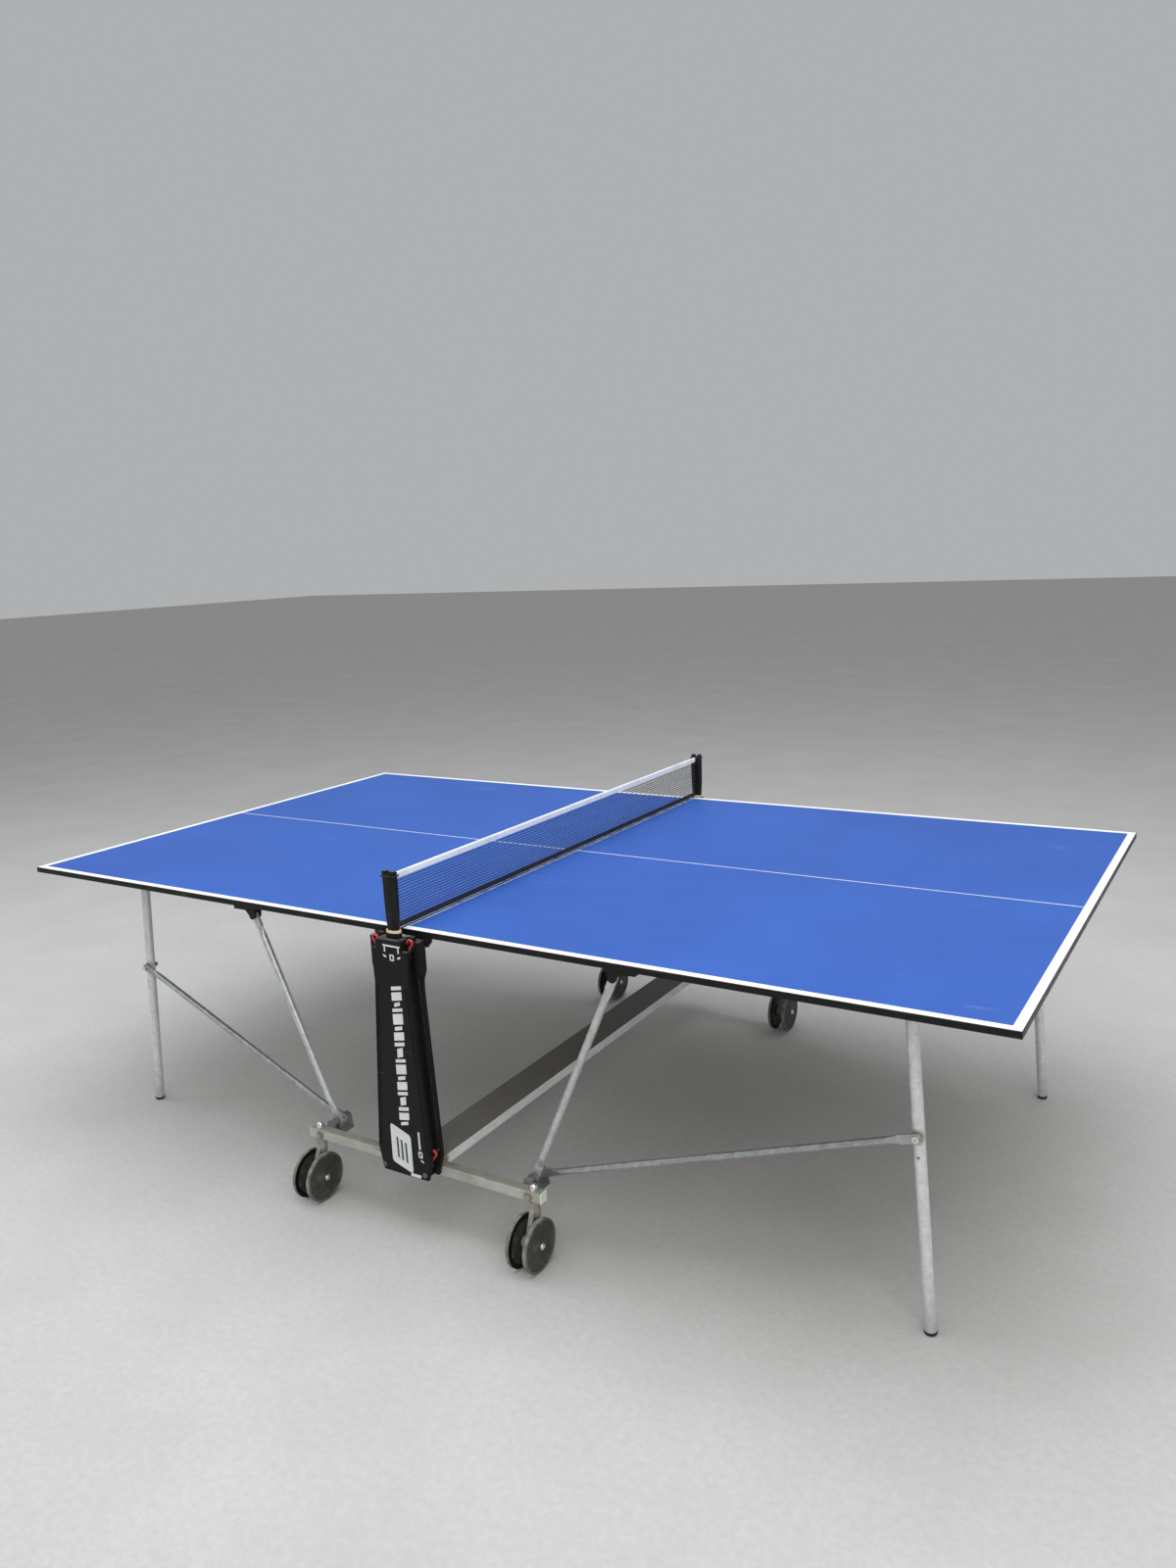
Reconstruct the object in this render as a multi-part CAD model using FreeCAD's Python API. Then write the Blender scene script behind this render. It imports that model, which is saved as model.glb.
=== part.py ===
import FreeCAD, Part
import math
import os

# Folding ping pong table, millimetres. X runs along the table, Y across it, Z up from the floor.
# The right half is +X, the near side is -Y. Every left or far piece is a mirrored near right one.

Vec = FreeCAD.Vector

# Playing top
table_length = 2740.0
table_width = 1525.0
top_height = 760.0
board_thickness = 15.0
band_thickness = 1.5
band_step = 0.6
band_chamfer = 0.5
seam_half_gap = 2.0
half_length = table_length / 2
half_width = table_width / 2
board_underside = top_height - board_thickness

# Folding linkage of the right half, as (x, z) points seen from the near side
guide_pin = (45.0, 734.0)
guide_pin_stored = (74.0, 230.0)
strut_top = (535.0, 708.0)
rail_pivot = (303.0, 186.0)
leg_pivot = (1127.0, 726.0)
leg_joint = (1147.4, 433.0)
strut_y = 712.0
stay_y_low = 690.0
stay_y_high = 603.0

# Centre frame
rail_length = 702.0
rail_size = 25.0
rail_wall = 2.0
rail_corner = 1.8
rail_outer_y = 766.0
rail_bottom = 157.0
rail_top = rail_bottom + rail_size
rail_inner_y = rail_outer_y - rail_size
rail_mid_y = rail_outer_y - rail_size / 2
beam_half_width = 50.0
beam_wall = 2.5

# Towers
tower_back_y = (766.0, 776.0)
tower_front_y = (801.0, 812.0)
tower_outline = [(53, 745), (53, 692), (50, 640), (79, 224), (77, 208), (66, 162)]
back_outline = [(72, 742), (72, 672), (64, 648), (63, 620), (84, 229), (82, 208), (70, 162)]
spine_outline = [(35.5, 745), (64.5, 229), (57, 208), (56, 162)]
guide_pin_radius = 4.0
slot_half_width = 4.6
tower_screw = (60.5, 178.0)
notch_inner_x = 37.0
notch_low_z = 722.0
latch_top_pivot = (46.0, 707.0)
latch_low_pivot = (66.0, 196.0)

# Net and posts
post_y = 788.0
net_half_span = 771.5
net_bottom = 763.5
net_band_top = 776.0
net_tape_bottom = 880.0
net_top = 895.0

# Casters
caster_x = 327.0
caster_trail = 24.0
wheel_radius = 62.5
wheel_inner_x = 17.0
wheel_outer_x = 28.5
stem_radius = 6.0
axle_radius = 5.0

# Legs
leg_radius = 12.5
leg_wall = 1.5
leg_half_span = 585.0
leg_bend = 60.0
foot_x = 1178.0
leg_bolt_radius = 4.0

running_gap = 0.05


def box(x0, x1, y0, y1, z0, z1):
    return Part.makeBox(x1 - x0, y1 - y0, z1 - z0, Vec(x0, y0, z0))


def rod(start, end, radius):
    along = end - start
    return Part.makeCylinder(radius, along.Length, start, along)


def rod_y(point, y0, y1, radius):
    return rod(Vec(point[0], y0, point[1]), Vec(point[0], y1, point[1]), radius)


def rod_x(x0, x1, y, z, radius):
    return rod(Vec(x0, y, z), Vec(x1, y, z), radius)


def rod_z(x, y, z0, z1, radius):
    return rod(Vec(x, y, z0), Vec(x, y, z1), radius)


def plate_xz(points, y0, y1):
    corners = [Vec(x, y0, z) for x, z in points]
    face = Part.Face(Part.makePolygon(corners + [corners[0]]))
    return face.extrude(Vec(0, y1 - y0, 0))


def plate_yz(points, x0, x1):
    corners = [Vec(x0, y, z) for y, z in points]
    face = Part.Face(Part.makePolygon(corners + [corners[0]]))
    return face.extrude(Vec(x1 - x0, 0, 0))


def both_sides(half_outline):
    return half_outline + [(-x, z) for x, z in reversed(half_outline)]


def fuse(shapes):
    return shapes[0].fuse(shapes[1:]).removeSplitter()


def mirror_x(shape):
    return shape.mirror(Vec(0, 0, 0), Vec(1, 0, 0))


def mirror_y(shape):
    return shape.mirror(Vec(0, 0, 0), Vec(0, 1, 0))


def near_and_far(near):
    return [near, mirror_y(near)]


def four_corners(near_right):
    pair = near_and_far(near_right)
    return pair + [mirror_x(shape) for shape in pair]


def hex_head(point, y_inner, y_outer, across):
    turns = [math.radians(60 * k) for k in range(6)]
    radius = across / math.sqrt(3)
    points = [(point[0] + radius * math.cos(a), point[1] + radius * math.sin(a)) for a in turns]
    return plate_xz(points, y_inner, y_outer)


def save(node, shapes):
    solids = shapes if isinstance(shapes, list) else [shapes]
    solids = [solid for shape in solids for solid in shape.Solids]
    for solid in solids:
        assert solid.isValid(), node
    body = solids[0] if len(solids) == 1 else Part.makeCompound(solids)
    body.exportStep("parts/" + node + ".step")


# Playing top ---------------------------------------------------------------

def board():
    inset = band_thickness
    y = half_width - inset
    return box(seam_half_gap + inset, half_length - inset, -y, y, board_underside, top_height)


def edge_band():
    top = top_height - band_step
    outer = box(seam_half_gap, half_length, -half_width, half_width, board_underside, top)
    outer = outer.makeChamfer(band_chamfer, outer.Edges)
    return outer.cut(board())


def guide_bracket():
    # A flat foot under the board, an upright plate, and the pin that runs in the tower's slot.
    foot = box(28, 84, -756, -700, board_underside - 3, board_underside)
    outline = [(28, board_underside), (84, board_underside), (84, 736), (72, 722), (34, 722), (28, 728)]
    plate = plate_xz(outline, -760, -756)
    rib = plate_yz([(-756, board_underside - 3), (-712, board_underside - 3), (-756, 726)], 62, 66)
    pin = rod_y(guide_pin, -790, -758, guide_pin_radius)
    return fuse([foot, plate, rib, pin])


def strut_hinge_block():
    x, z = strut_top
    body = box(x - 17, x + 60, -729, -695, board_underside - 22, board_underside)
    body = body.makeFillet(4, [e for e in body.Edges if abs(e.BoundBox.ZLength - 22) < 0.1])
    slot = box(x - 18, x + 16, -718.5, -705.5, board_underside - 23, board_underside - 18)
    parts = [body.cut(slot)]
    root = board_underside - 20
    for y0, y1 in ((-724, -718.5), (-705.5, -700)):
        cheek = plate_xz([(x - 12, root), (x - 10, z), (x + 10, z), (x + 26, root)], y0, y1)
        parts += [cheek, rod_y(strut_top, y0, y1, 10)]
    parts.append(rod_y(strut_top, -722, -702, 4.0))
    return fuse(parts)


def leg_bracket():
    x, z = leg_pivot
    flange = box(x - 34, x + 34, -442, -398, board_underside - 3, board_underside)
    saddle = box(x - 17, x + 17, -438, -402, z, board_underside)
    round_end = rod_y(leg_pivot, -438, -402, 17)
    bore = rod_y(leg_pivot, -450, -390, leg_radius + running_gap)
    return fuse([flange, saddle, round_end]).cut(bore)


# Links and legs ------------------------------------------------------------

def link(start, end, radius, wall, lug_width, lug_thick, start_hole, end_hole):
    # A round tube with both ends pressed flat, square to Y, and drilled along Y.
    lug_length = 34.0
    neck_length = 24.0
    flat = Vec(end.x - start.x, 0, end.z - start.z).normalize()
    across = Vec(-flat.z, 0, flat.x)
    setback = flat * (lug_length + neck_length)
    low, high = start + setback, end - setback
    along = (high - low).normalize()
    tube = rod(low, high, radius)
    tube = tube.cut(rod(low + along * 4, high - along * 4, radius - wall))
    parts = [tube]
    holes = []
    for tip, way, tube_end, hole in ((start, 1, low, start_hole), (end, -1, high, end_hole)):
        lug_end = tip + flat * (way * lug_length)
        oval = Part.Ellipse(lug_end + across * (lug_width / 2), lug_end + Vec(0, lug_thick / 2, 0), lug_end)
        ring = Part.Circle(tube_end, along, radius)
        parts.append(Part.makeLoft([Part.Wire(oval.toShape()), Part.Wire(ring.toShape())], True))
        half = across * (lug_width / 2)
        depth = Vec(0, lug_thick / 2, 0)
        corners = [tip + half - depth, tip - half - depth, lug_end - half - depth, lug_end + half - depth]
        plate = Part.Face(Part.makePolygon(corners + [corners[0]])).extrude(depth * 2)
        parts.append(plate)
        parts.append(rod(tip - depth, tip + depth, lug_width / 2))
        if hole:
            holes.append(rod(tip - depth * 2, tip + depth * 2, hole))
    return fuse(parts).cut(holes)


def strut():
    top = Vec(strut_top[0], -strut_y, strut_top[1])
    foot = Vec(rail_pivot[0], -strut_y, rail_pivot[1])
    return link(top, foot, 9.0, 1.5, 20.0, 6.0, 4.0 + running_gap, 4.0)


def stay():
    low = Vec(rail_pivot[0], -stay_y_low, rail_pivot[1])
    high = Vec(leg_joint[0], -stay_y_high, leg_joint[1])
    return link(low, high, 8.0, 1.2, 20.0, 5.0, 4.0, leg_bolt_radius + running_gap)


def leg_frame_path(reach):
    # Lies flat in the plane x = 0: the cross tube is on Y, and both legs hang down from it.
    y = leg_half_span
    bend = leg_bend
    diagonal = bend * (1 - math.sqrt(0.5))
    points = [Vec(0, -y, -reach), Vec(0, -y, -bend), Vec(0, -y + bend, 0)]
    points += [Vec(0, y - bend, 0), Vec(0, y, -bend)]
    near_arc = Part.Arc(points[1], Vec(0, -y + diagonal, -diagonal), points[2])
    far_arc = Part.Arc(points[3], Vec(0, y - diagonal, -diagonal), points[4])
    near_leg = Part.LineSegment(points[0], points[1])
    cross_tube = Part.LineSegment(points[2], points[3])
    far_leg = Part.LineSegment(points[4], Vec(0, y, -reach))
    curves = [near_leg, near_arc, cross_tube, far_arc, far_leg]
    return Part.Wire([curve.toShape() for curve in curves])


def place_on_leg(shape):
    # Turns a piece made in the leg plane out to the legs' lean, about the leg pivot.
    lean = math.degrees(math.atan2(foot_x - leg_pivot[0], leg_pivot[1]))
    placed = shape.copy()
    placed.rotate(Vec(0, 0, 0), Vec(0, 1, 0), -lean)
    placed.translate(Vec(leg_pivot[0], 0, leg_pivot[1]))
    return placed


def leg_length():
    return math.hypot(foot_x - leg_pivot[0], leg_pivot[1])


def leg_frame():
    reach = leg_length() - 8
    path = leg_frame_path(reach)
    start = Vec(0, -leg_half_span, -reach)
    tubes = []
    for radius in (leg_radius, leg_radius - leg_wall):
        ring = Part.Wire(Part.Circle(start, Vec(0, 0, 1), radius).toShape())
        tubes.append(path.makePipeShell([ring], True, True))
    frame = place_on_leg(tubes[0].cut(tubes[1]))
    for side in (-1, 1):
        y = side * leg_half_span
        frame = frame.cut(rod_y(leg_joint, y - 20, y + 20, leg_bolt_radius + running_gap))
        frame = frame.cut(rod_y((leg_joint[0] + 3.1, leg_joint[1] - 44), y - 20, y + 20, 2.5))
    return frame


def foot_cap():
    reach = leg_length()
    y = -leg_half_span
    outer = rod(Vec(0, y, -reach - 6), Vec(0, y, -reach + 26), leg_radius + 2.0)
    pocket = rod(Vec(0, y, -reach + 7.9), Vec(0, y, -reach + 30), leg_radius + running_gap)
    cap = place_on_leg(outer.cut(pocket))
    return cap.cut(box(foot_x - 60, foot_x + 60, y - 60, y + 60, -60, 0))


def leg_bolt():
    # Goes through the leg and the stay's flat end, with a head outside and a nut inside.
    outer_y = -leg_half_span - leg_radius
    inner_y = -leg_half_span + leg_radius
    shank = rod_y(leg_joint, -607, inner_y + 8, leg_bolt_radius)
    washer = rod_y(leg_joint, outer_y - 2, outer_y - 0.2, 7)
    head = rod_y(leg_joint, -612, -606.2, 7).cut(hex_head(leg_joint, -613, -609, 5.0))
    nut = hex_head(leg_joint, inner_y + 0.2, inner_y + 7, 13.0)
    return fuse([shank, washer, head, nut])


# Centre frame --------------------------------------------------------------

def rail():
    x = rail_length / 2
    wall = rail_wall
    tube = box(-x, x, -rail_outer_y, -rail_inner_y, rail_bottom, rail_top)
    tube = tube.makeFillet(rail_corner, [e for e in tube.Edges if e.BoundBox.XLength > 100])
    low, high = rail_bottom + wall, rail_top - wall
    hollow = box(-x - 1, x + 1, -rail_outer_y + wall, -rail_inner_y - wall, low, high)
    bore = stem_radius + running_gap
    stems = [rod_z(side * caster_x, -rail_mid_y, rail_bottom - 1, rail_top + 1, bore) for side in (-1, 1)]
    return tube.cut([hollow] + stems)


def rail_end_cap():
    x = rail_length / 2
    fit = rail_wall + 0.2
    flange = box(x, x + 3, -rail_outer_y, -rail_inner_y, rail_bottom, rail_top)
    flange = flange.makeFillet(rail_corner, [e for e in flange.Edges if e.BoundBox.XMin > x + 2.9])
    plug = box(x - 10, x + 1, -rail_outer_y + fit, -rail_inner_y - fit, rail_bottom + fit, rail_top - fit)
    return fuse([flange, plug])


def cross_beam():
    w = beam_half_width
    y = rail_inner_y
    wall = beam_wall
    outer = box(-w, w, -y, y, rail_bottom, rail_top)
    top_edges = [e for e in outer.Edges if e.BoundBox.YLength > 100 and e.BoundBox.ZMin > rail_top - 1]
    outer = outer.makeFillet(rail_corner, top_edges)
    inner = box(-w + wall, w - wall, -y - 1, y + 1, rail_bottom - 1, rail_top - wall)
    return outer.cut(inner)


def pivot_bracket():
    # A cradle on the rail's inner face. The links' flat ends rest in it between the two upright plates.
    x, z = rail_pivot
    parts = [box(x - 18, x + 18, -rail_inner_y, -678, rail_bottom, rail_bottom + 3)]
    for y0, y1 in ((-rail_inner_y, -738), (-723, -720), (-681, -678)):
        upright = [(x - 18, rail_bottom), (x + 18, rail_bottom), (x + 13, z), (x - 13, z)]
        parts.append(plate_xz(upright, y0, y1))
        parts.append(rod_y(rail_pivot, y0, y1, 13))
    parts.append(rod_y(rail_pivot, -739, -722, 8))
    return fuse(parts)


def pivot_bolt_head():
    return hex_head(rail_pivot, -678, -672, 13.0)


def rail_bolt_head():
    return hex_head((318.0, 168.0), -rail_outer_y - 5, -rail_outer_y, 11.0)


def tower_spine():
    return plate_xz(both_sides(spine_outline), -tower_front_y[0], -tower_back_y[1])


def tower_front():
    plate = plate_xz(both_sides(tower_outline), -tower_front_y[1], -tower_front_y[0])
    face_edges = [e for e in plate.Edges if e.BoundBox.YMax < -tower_front_y[1] + 0.1]
    plate = plate.makeChamfer(2.5, face_edges)
    # A notch in each upper corner leaves room for the hook of the latch.
    notch = box(notch_inner_x, 60, -tower_front_y[1] - 1, -tower_front_y[0] + 1, notch_low_z, 750)
    parts = [plate.cut([notch, mirror_x(notch)]), tower_spine()]
    # The oval socket for the net post stands on the tower's top.
    parts.append(oval_prism(22, 12.5, 745, 758))
    # Two raised ribs run down beside each long edge.
    for inset in (6, 11):
        rib = [(50 - inset, 640), (79 - inset, 226), (81.5 - inset, 226), (52.5 - inset, 640)]
        rib_plate = plate_xz(rib, -tower_front_y[1] - 1.2, -tower_front_y[1] + 1)
        parts += [rib_plate, mirror_x(rib_plate)]
    for point in (latch_top_pivot, latch_low_pivot):
        stub = rod_y(point, -tower_front_y[0] - 1, -790.5, 3.0)
        parts += [stub, mirror_x(stub)]
    tower = fuse(parts)
    return tower.cut(rod_z(0, -post_y, 722, 760, 8 + running_gap))


def slot_cutter():
    # The straight slot that the guide pin runs in, open at its upper end.
    top, low = guide_pin, guide_pin_stored
    way = Vec(low[0] - top[0], 0, low[1] - top[1]).normalize()
    side = Vec(-way.z, 0, way.x) * slot_half_width
    start = Vec(top[0], -tower_back_y[1] - 1, top[1]) - way * 30
    end = Vec(low[0], -tower_back_y[1] - 1, low[1])
    corners = [start + side, start - side, end - side, end + side]
    depth = Vec(0, 12, 0)
    straight = Part.Face(Part.makePolygon(corners + [corners[0]])).extrude(depth)
    return straight.fuse(rod(end, end + depth, slot_half_width))


def tower_back():
    plate = plate_xz(both_sides(back_outline), -tower_back_y[1], -tower_back_y[0])
    rim = [e for e in plate.Edges if e.BoundBox.YLength < 1]
    plate = plate.makeChamfer(1.5, rim)
    cutter = slot_cutter()
    shoulder = plate_xz([(60, 742), (72, 742), (72, 672), (66, 655), (63, 680)], -790, -tower_back_y[1])
    return fuse([plate.cut([cutter, mirror_x(cutter)]), shoulder, mirror_x(shoulder)])


def slider():
    x, z = guide_pin
    block = box(x - 8, x + 8, -789, -777, z - 18, z + 18)
    block = block.makeFillet(3, [e for e in block.Edges if e.BoundBox.YLength > 11])
    return block.cut(rod_y(guide_pin, -800, -770, guide_pin_radius + running_gap))


def tower_screw_head():
    head = rod_y(tower_screw, -tower_front_y[1] - 3, -tower_front_y[1], 6.0)
    return head.cut(hex_head(tower_screw, -tower_front_y[1] - 4, -tower_front_y[1] - 1, 4.0))


def latch(pivot, tip_lean):
    # A stem that rises from its pivot and ends in a rounded hook.
    x, z = pivot
    tip = x + tip_lean
    y0, y1 = -799.5, -791.5
    stem = plate_xz([(x - 4, z), (x + 4, z), (tip + 3, z + 26), (tip - 3, z + 26)], y0, y1)
    ring = rod_y((tip, z + 33), y0, y1, 10).cut(rod_y((tip, z + 33), y0 - 1, y1 + 1, 4.5))
    opening = [(tip, z + 33), (tip - 16, z + 33), (tip - 16, z + 20), (tip - 4, z + 20)]
    mouth = plate_xz(opening, y0 - 1, y1 + 1)
    boss = rod_y(pivot, y0, y1, 6)
    bore = rod_y(pivot, y0 - 1, y1 + 1, 3 + running_gap)
    return fuse([stem, boss, ring.cut(mouth)]).cut(bore)


# Net -----------------------------------------------------------------------

def oval_wire(half_x, half_y, z):
    centre = Vec(0, -post_y, z)
    oval = Part.Ellipse(centre + Vec(half_x, 0, 0), centre + Vec(0, half_y, 0), centre)
    return Part.Wire(oval.toShape())


def oval_prism(half_x, half_y, z0, z1):
    return Part.Face(oval_wire(half_x, half_y, z0)).extrude(Vec(0, 0, z1 - z0))


def net_post():
    shaft = Part.makeLoft([oval_wire(15, 9, 764), oval_wire(18, 10.5, 800), oval_wire(19, 11, 896)], True)
    spigot = rod_z(0, -post_y, 724, 765, 8)
    fin = box(-4, 4, -780, -772, 772, 893)
    parts = [shaft, spigot, fin]
    for side in (-1, 1):
        x = side * 11
        parts.append(box(x - 6, x + 6, -post_y - 8, -post_y + 8, 890, 904))
    return fuse(parts)


def post_collar():
    return oval_prism(20, 12.5, 758.2, 763.8).cut(rod_z(0, -post_y, 750, 770, 8.2))


def net_strip(half_thick, z0, z1):
    return box(-half_thick, half_thick, -net_half_span, net_half_span, z0, z1)


# Casters -------------------------------------------------------------------

def caster_stem(x, y):
    stem = rod_z(x, y, 126, rail_top + 1, stem_radius)
    nut = rod_z(x, y, rail_top, rail_top + 7, 10)
    above = box(x - 12, x + 12, y - 12, y + 12, rail_top + 6, rail_top + 40)
    dome = Part.makeSphere(9.5, Vec(x, y, rail_top + 6)).common(above)
    collar = rod_z(x, y, rail_bottom - 2, rail_bottom, 11)
    return fuse([stem, nut, dome, collar])


def fork(x, y):
    axle_y = y - caster_trail
    housing = rod_z(x, y, 120, 154.5, 13)
    outline = [(y + 12, 122), (y + 12, 134), (y - 12, 138)]
    outline += [(axle_y - 14, 70), (axle_y, 47), (axle_y + 14, 54)]
    web = plate_yz(outline, x - 6, x + 6)
    hub = rod_x(x - 16, x + 16, axle_y, wheel_radius, 15)
    bore = rod_z(x, y, 110, 160, stem_radius + running_gap)
    axle_bore = rod_x(x - 20, x + 20, axle_y, wheel_radius, axle_radius)
    return fuse([housing, web, hub]).cut([bore, axle_bore])


def axle(x, y):
    axle_y = y - caster_trail
    reach = wheel_outer_x + 0.5
    parts = [rod_x(x - reach - 1, x + reach + 1, axle_y, wheel_radius, axle_radius)]
    for side in (-1, 1):
        start = x + side * reach
        parts.append(rod_x(start, start + side * 3.5, axle_y, wheel_radius, 8))
    return fuse(parts)


def wheel_disc(x, y, side):
    # A dished disc: a full rim, a shallow pocket outside, and a hub.
    axle_y = y - caster_trail
    inner, outer = x + side * wheel_inner_x, x + side * wheel_outer_x
    disc = rod_x(inner, outer, axle_y, wheel_radius, wheel_radius)
    disc = disc.makeFillet(2.5, [e for e in disc.Edges if len(e.Vertexes) == 1])
    dish = rod_x(outer - side * 2, outer + side * 5, axle_y, wheel_radius, wheel_radius - 9)
    hub = rod_x(outer - side * 4, outer, axle_y, wheel_radius, 13)
    bore = rod_x(inner - side * 5, outer + side * 5, axle_y, wheel_radius, axle_radius + running_gap)
    return fuse([disc.cut(dish), hub]).cut(bore)


# Write every node ----------------------------------------------------------

def write_half(side, place):
    def pair(near_right):
        return [place(shape) for shape in near_and_far(near_right)]

    save(side + "_board", place(board()))
    save(side + "_edge_band", place(edge_band()))
    save(side + "_guide_brackets", pair(guide_bracket()))
    save(side + "_hinge_blocks", pair(strut_hinge_block()))
    save(side + "_leg_brackets", pair(leg_bracket()))
    save(side + "_sliders", pair(slider()))
    save(side + "_struts", pair(strut()))
    save(side + "_stays", pair(stay()))
    save(side + "_leg_frame", place(leg_frame()))
    save(side + "_foot_caps", pair(foot_cap()))
    save(side + "_leg_bolts", pair(leg_bolt()))


def write_centre():
    for side, place in (("near", lambda shape: shape), ("far", mirror_y)):
        save(side + "_rail", place(rail()))
        save(side + "_tower_front", place(tower_front()))
        save(side + "_tower_back", place(tower_back()))
        save(side + "_net_post", place(net_post()))
    save("rail_end_caps", four_corners(rail_end_cap()))
    save("cross_beam", cross_beam())
    save("pivot_brackets", four_corners(pivot_bracket()))
    save("rail_bolts", four_corners(pivot_bolt_head()) + four_corners(rail_bolt_head()))
    save("tower_screws", four_corners(tower_screw_head()))
    save("post_collars", near_and_far(post_collar()))
    save("net_tape", net_strip(3.2, net_tape_bottom, net_top))
    save("net_mesh", net_strip(0.8, net_band_top, net_tape_bottom))
    save("net_band", net_strip(2.0, net_bottom, net_band_top))


def write_casters():
    stems = []
    for row, y in (("near", -rail_mid_y), ("far", rail_mid_y)):
        for side, x in (("right", caster_x), ("left", -caster_x)):
            name = row + "_" + side
            stems.append(caster_stem(x, y))
            save(name + "_fork", fork(x, y))
            save(name + "_axle", axle(x, y))
            save(name + "_wheels", [wheel_disc(x, y, -1), wheel_disc(x, y, 1)])
    save("caster_stems", stems)


def write_latches():
    for level, pivot, lean in (("upper", latch_top_pivot, 5.0), ("lower", latch_low_pivot, 11.0)):
        near_right = latch(pivot, lean)
        for row, place_row in (("near", lambda shape: shape), ("far", mirror_y)):
            save(row + "_right_" + level + "_latch", place_row(near_right))
            save(row + "_left_" + level + "_latch", mirror_x(place_row(near_right)))


os.makedirs("parts", exist_ok=True)
write_half("right", lambda shape: shape)
write_half("left", mirror_x)
write_centre()
write_casters()
write_latches()
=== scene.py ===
import math

import bmesh
import bpy
from mathutils import Matrix, Vector


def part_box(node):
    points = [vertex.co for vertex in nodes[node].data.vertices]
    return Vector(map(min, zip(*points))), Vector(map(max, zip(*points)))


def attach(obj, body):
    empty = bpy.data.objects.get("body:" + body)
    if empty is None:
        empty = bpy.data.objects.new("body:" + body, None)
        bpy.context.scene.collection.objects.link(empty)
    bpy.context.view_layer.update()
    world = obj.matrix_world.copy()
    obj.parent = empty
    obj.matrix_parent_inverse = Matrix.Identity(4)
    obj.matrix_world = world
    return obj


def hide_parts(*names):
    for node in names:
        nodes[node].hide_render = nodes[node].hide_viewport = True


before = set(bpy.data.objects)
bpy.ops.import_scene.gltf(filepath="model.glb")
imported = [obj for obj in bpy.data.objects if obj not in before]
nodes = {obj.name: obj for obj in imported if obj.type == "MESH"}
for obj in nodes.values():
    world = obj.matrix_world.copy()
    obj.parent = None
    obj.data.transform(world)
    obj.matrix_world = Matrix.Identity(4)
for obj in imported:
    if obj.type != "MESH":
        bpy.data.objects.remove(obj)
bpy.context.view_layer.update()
halves = {"right": 1, "left": -1}
flanks = {"near": 1, "far": -1}    # near is the -Y side, and far pieces are mirrored near ones
print("frame loaded:", len(nodes), "nodes")


# Small helpers for shader trees

def addNode(tree, kind, inputs=None, **options):
    node = tree.nodes.new(kind)
    for key, value in options.items():
        setattr(node, key, value)
    for key, value in (inputs or {}).items():
        if isinstance(value, bpy.types.NodeSocket):
            tree.links.new(value, node.inputs[key])
        else:
            node.inputs[key].default_value = value
    return node


def calc(tree, operation, first, second=0.0, clamp=False):
    inputs = {0: first, 1: second}
    return addNode(tree, "ShaderNodeMath", inputs, operation=operation, use_clamp=clamp).outputs[0]


def times(tree, first, second, clamp=False):
    return calc(tree, "MULTIPLY", first, second, clamp)


def larger(tree, first, second):
    return calc(tree, "MAXIMUM", first, second)


def fade(tree, value, low, high, start=0.0, end=1.0):
    inputs = {"Value": value, "From Min": low, "From Max": high, "To Min": start, "To Max": end}
    return addNode(tree, "ShaderNodeMapRange", inputs).outputs["Result"]


def mixColour(tree, factor, first, second):
    node = addNode(tree, "ShaderNodeMix", data_type="RGBA")
    for index, value in ((0, factor), (6, first), (7, second)):
        if isinstance(value, bpy.types.NodeSocket):
            tree.links.new(value, node.inputs[index])
        else:
            node.inputs[index].default_value = value
    return node.outputs[2]


def noise(tree, place, scale, detail=3.0, roughness=0.55):
    inputs = {"Vector": place, "Scale": scale, "Detail": detail, "Roughness": roughness}
    return addNode(tree, "ShaderNodeTexNoise", inputs).outputs["Fac"]


def stretch(tree, place, scale, turn=(0.0, 0.0, 0.0)):
    inputs = {"Vector": place, "Scale": scale, "Rotation": turn}
    return addNode(tree, "ShaderNodeMapping", inputs).outputs["Vector"]


def startGroup(name, inputs, outputs):
    group = bpy.data.node_groups.new(name, "ShaderNodeTree")
    for socketName, kind, value in inputs:
        socket = group.interface.new_socket(name=socketName, in_out="INPUT", socket_type=kind)
        socket.default_value = value
    for socketName in outputs:
        group.interface.new_socket(name=socketName, in_out="OUTPUT", socket_type="NodeSocketFloat")
    source = group.nodes.new("NodeGroupInput")
    sink = group.nodes.new("NodeGroupOutput")
    return group, source.outputs, sink.inputs


vectorKind, floatKind = "NodeSocketVector", "NodeSocketFloat"


# Effects that several materials share

def buildGrain():
    inputs = [("Position", vectorKind, (0, 0, 0)), ("Scale", floatKind, 100.0)]
    group, source, sink = startGroup("surfaceGrain", inputs, ["Height", "Cloud"])
    fine = noise(group, source["Position"], source["Scale"], 4.0, 0.6)
    finer = noise(group, source["Position"], times(group, source["Scale"], 3.7), 2.0)
    cloud = noise(group, source["Position"], times(group, source["Scale"], 0.04), 5.0, 0.6)
    height = calc(group, "ADD", times(group, fine, 0.65), times(group, finer, 0.35))
    group.links.new(height, sink["Height"])
    group.links.new(fade(group, cloud, 0.33, 0.67), sink["Cloud"])
    return group


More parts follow.
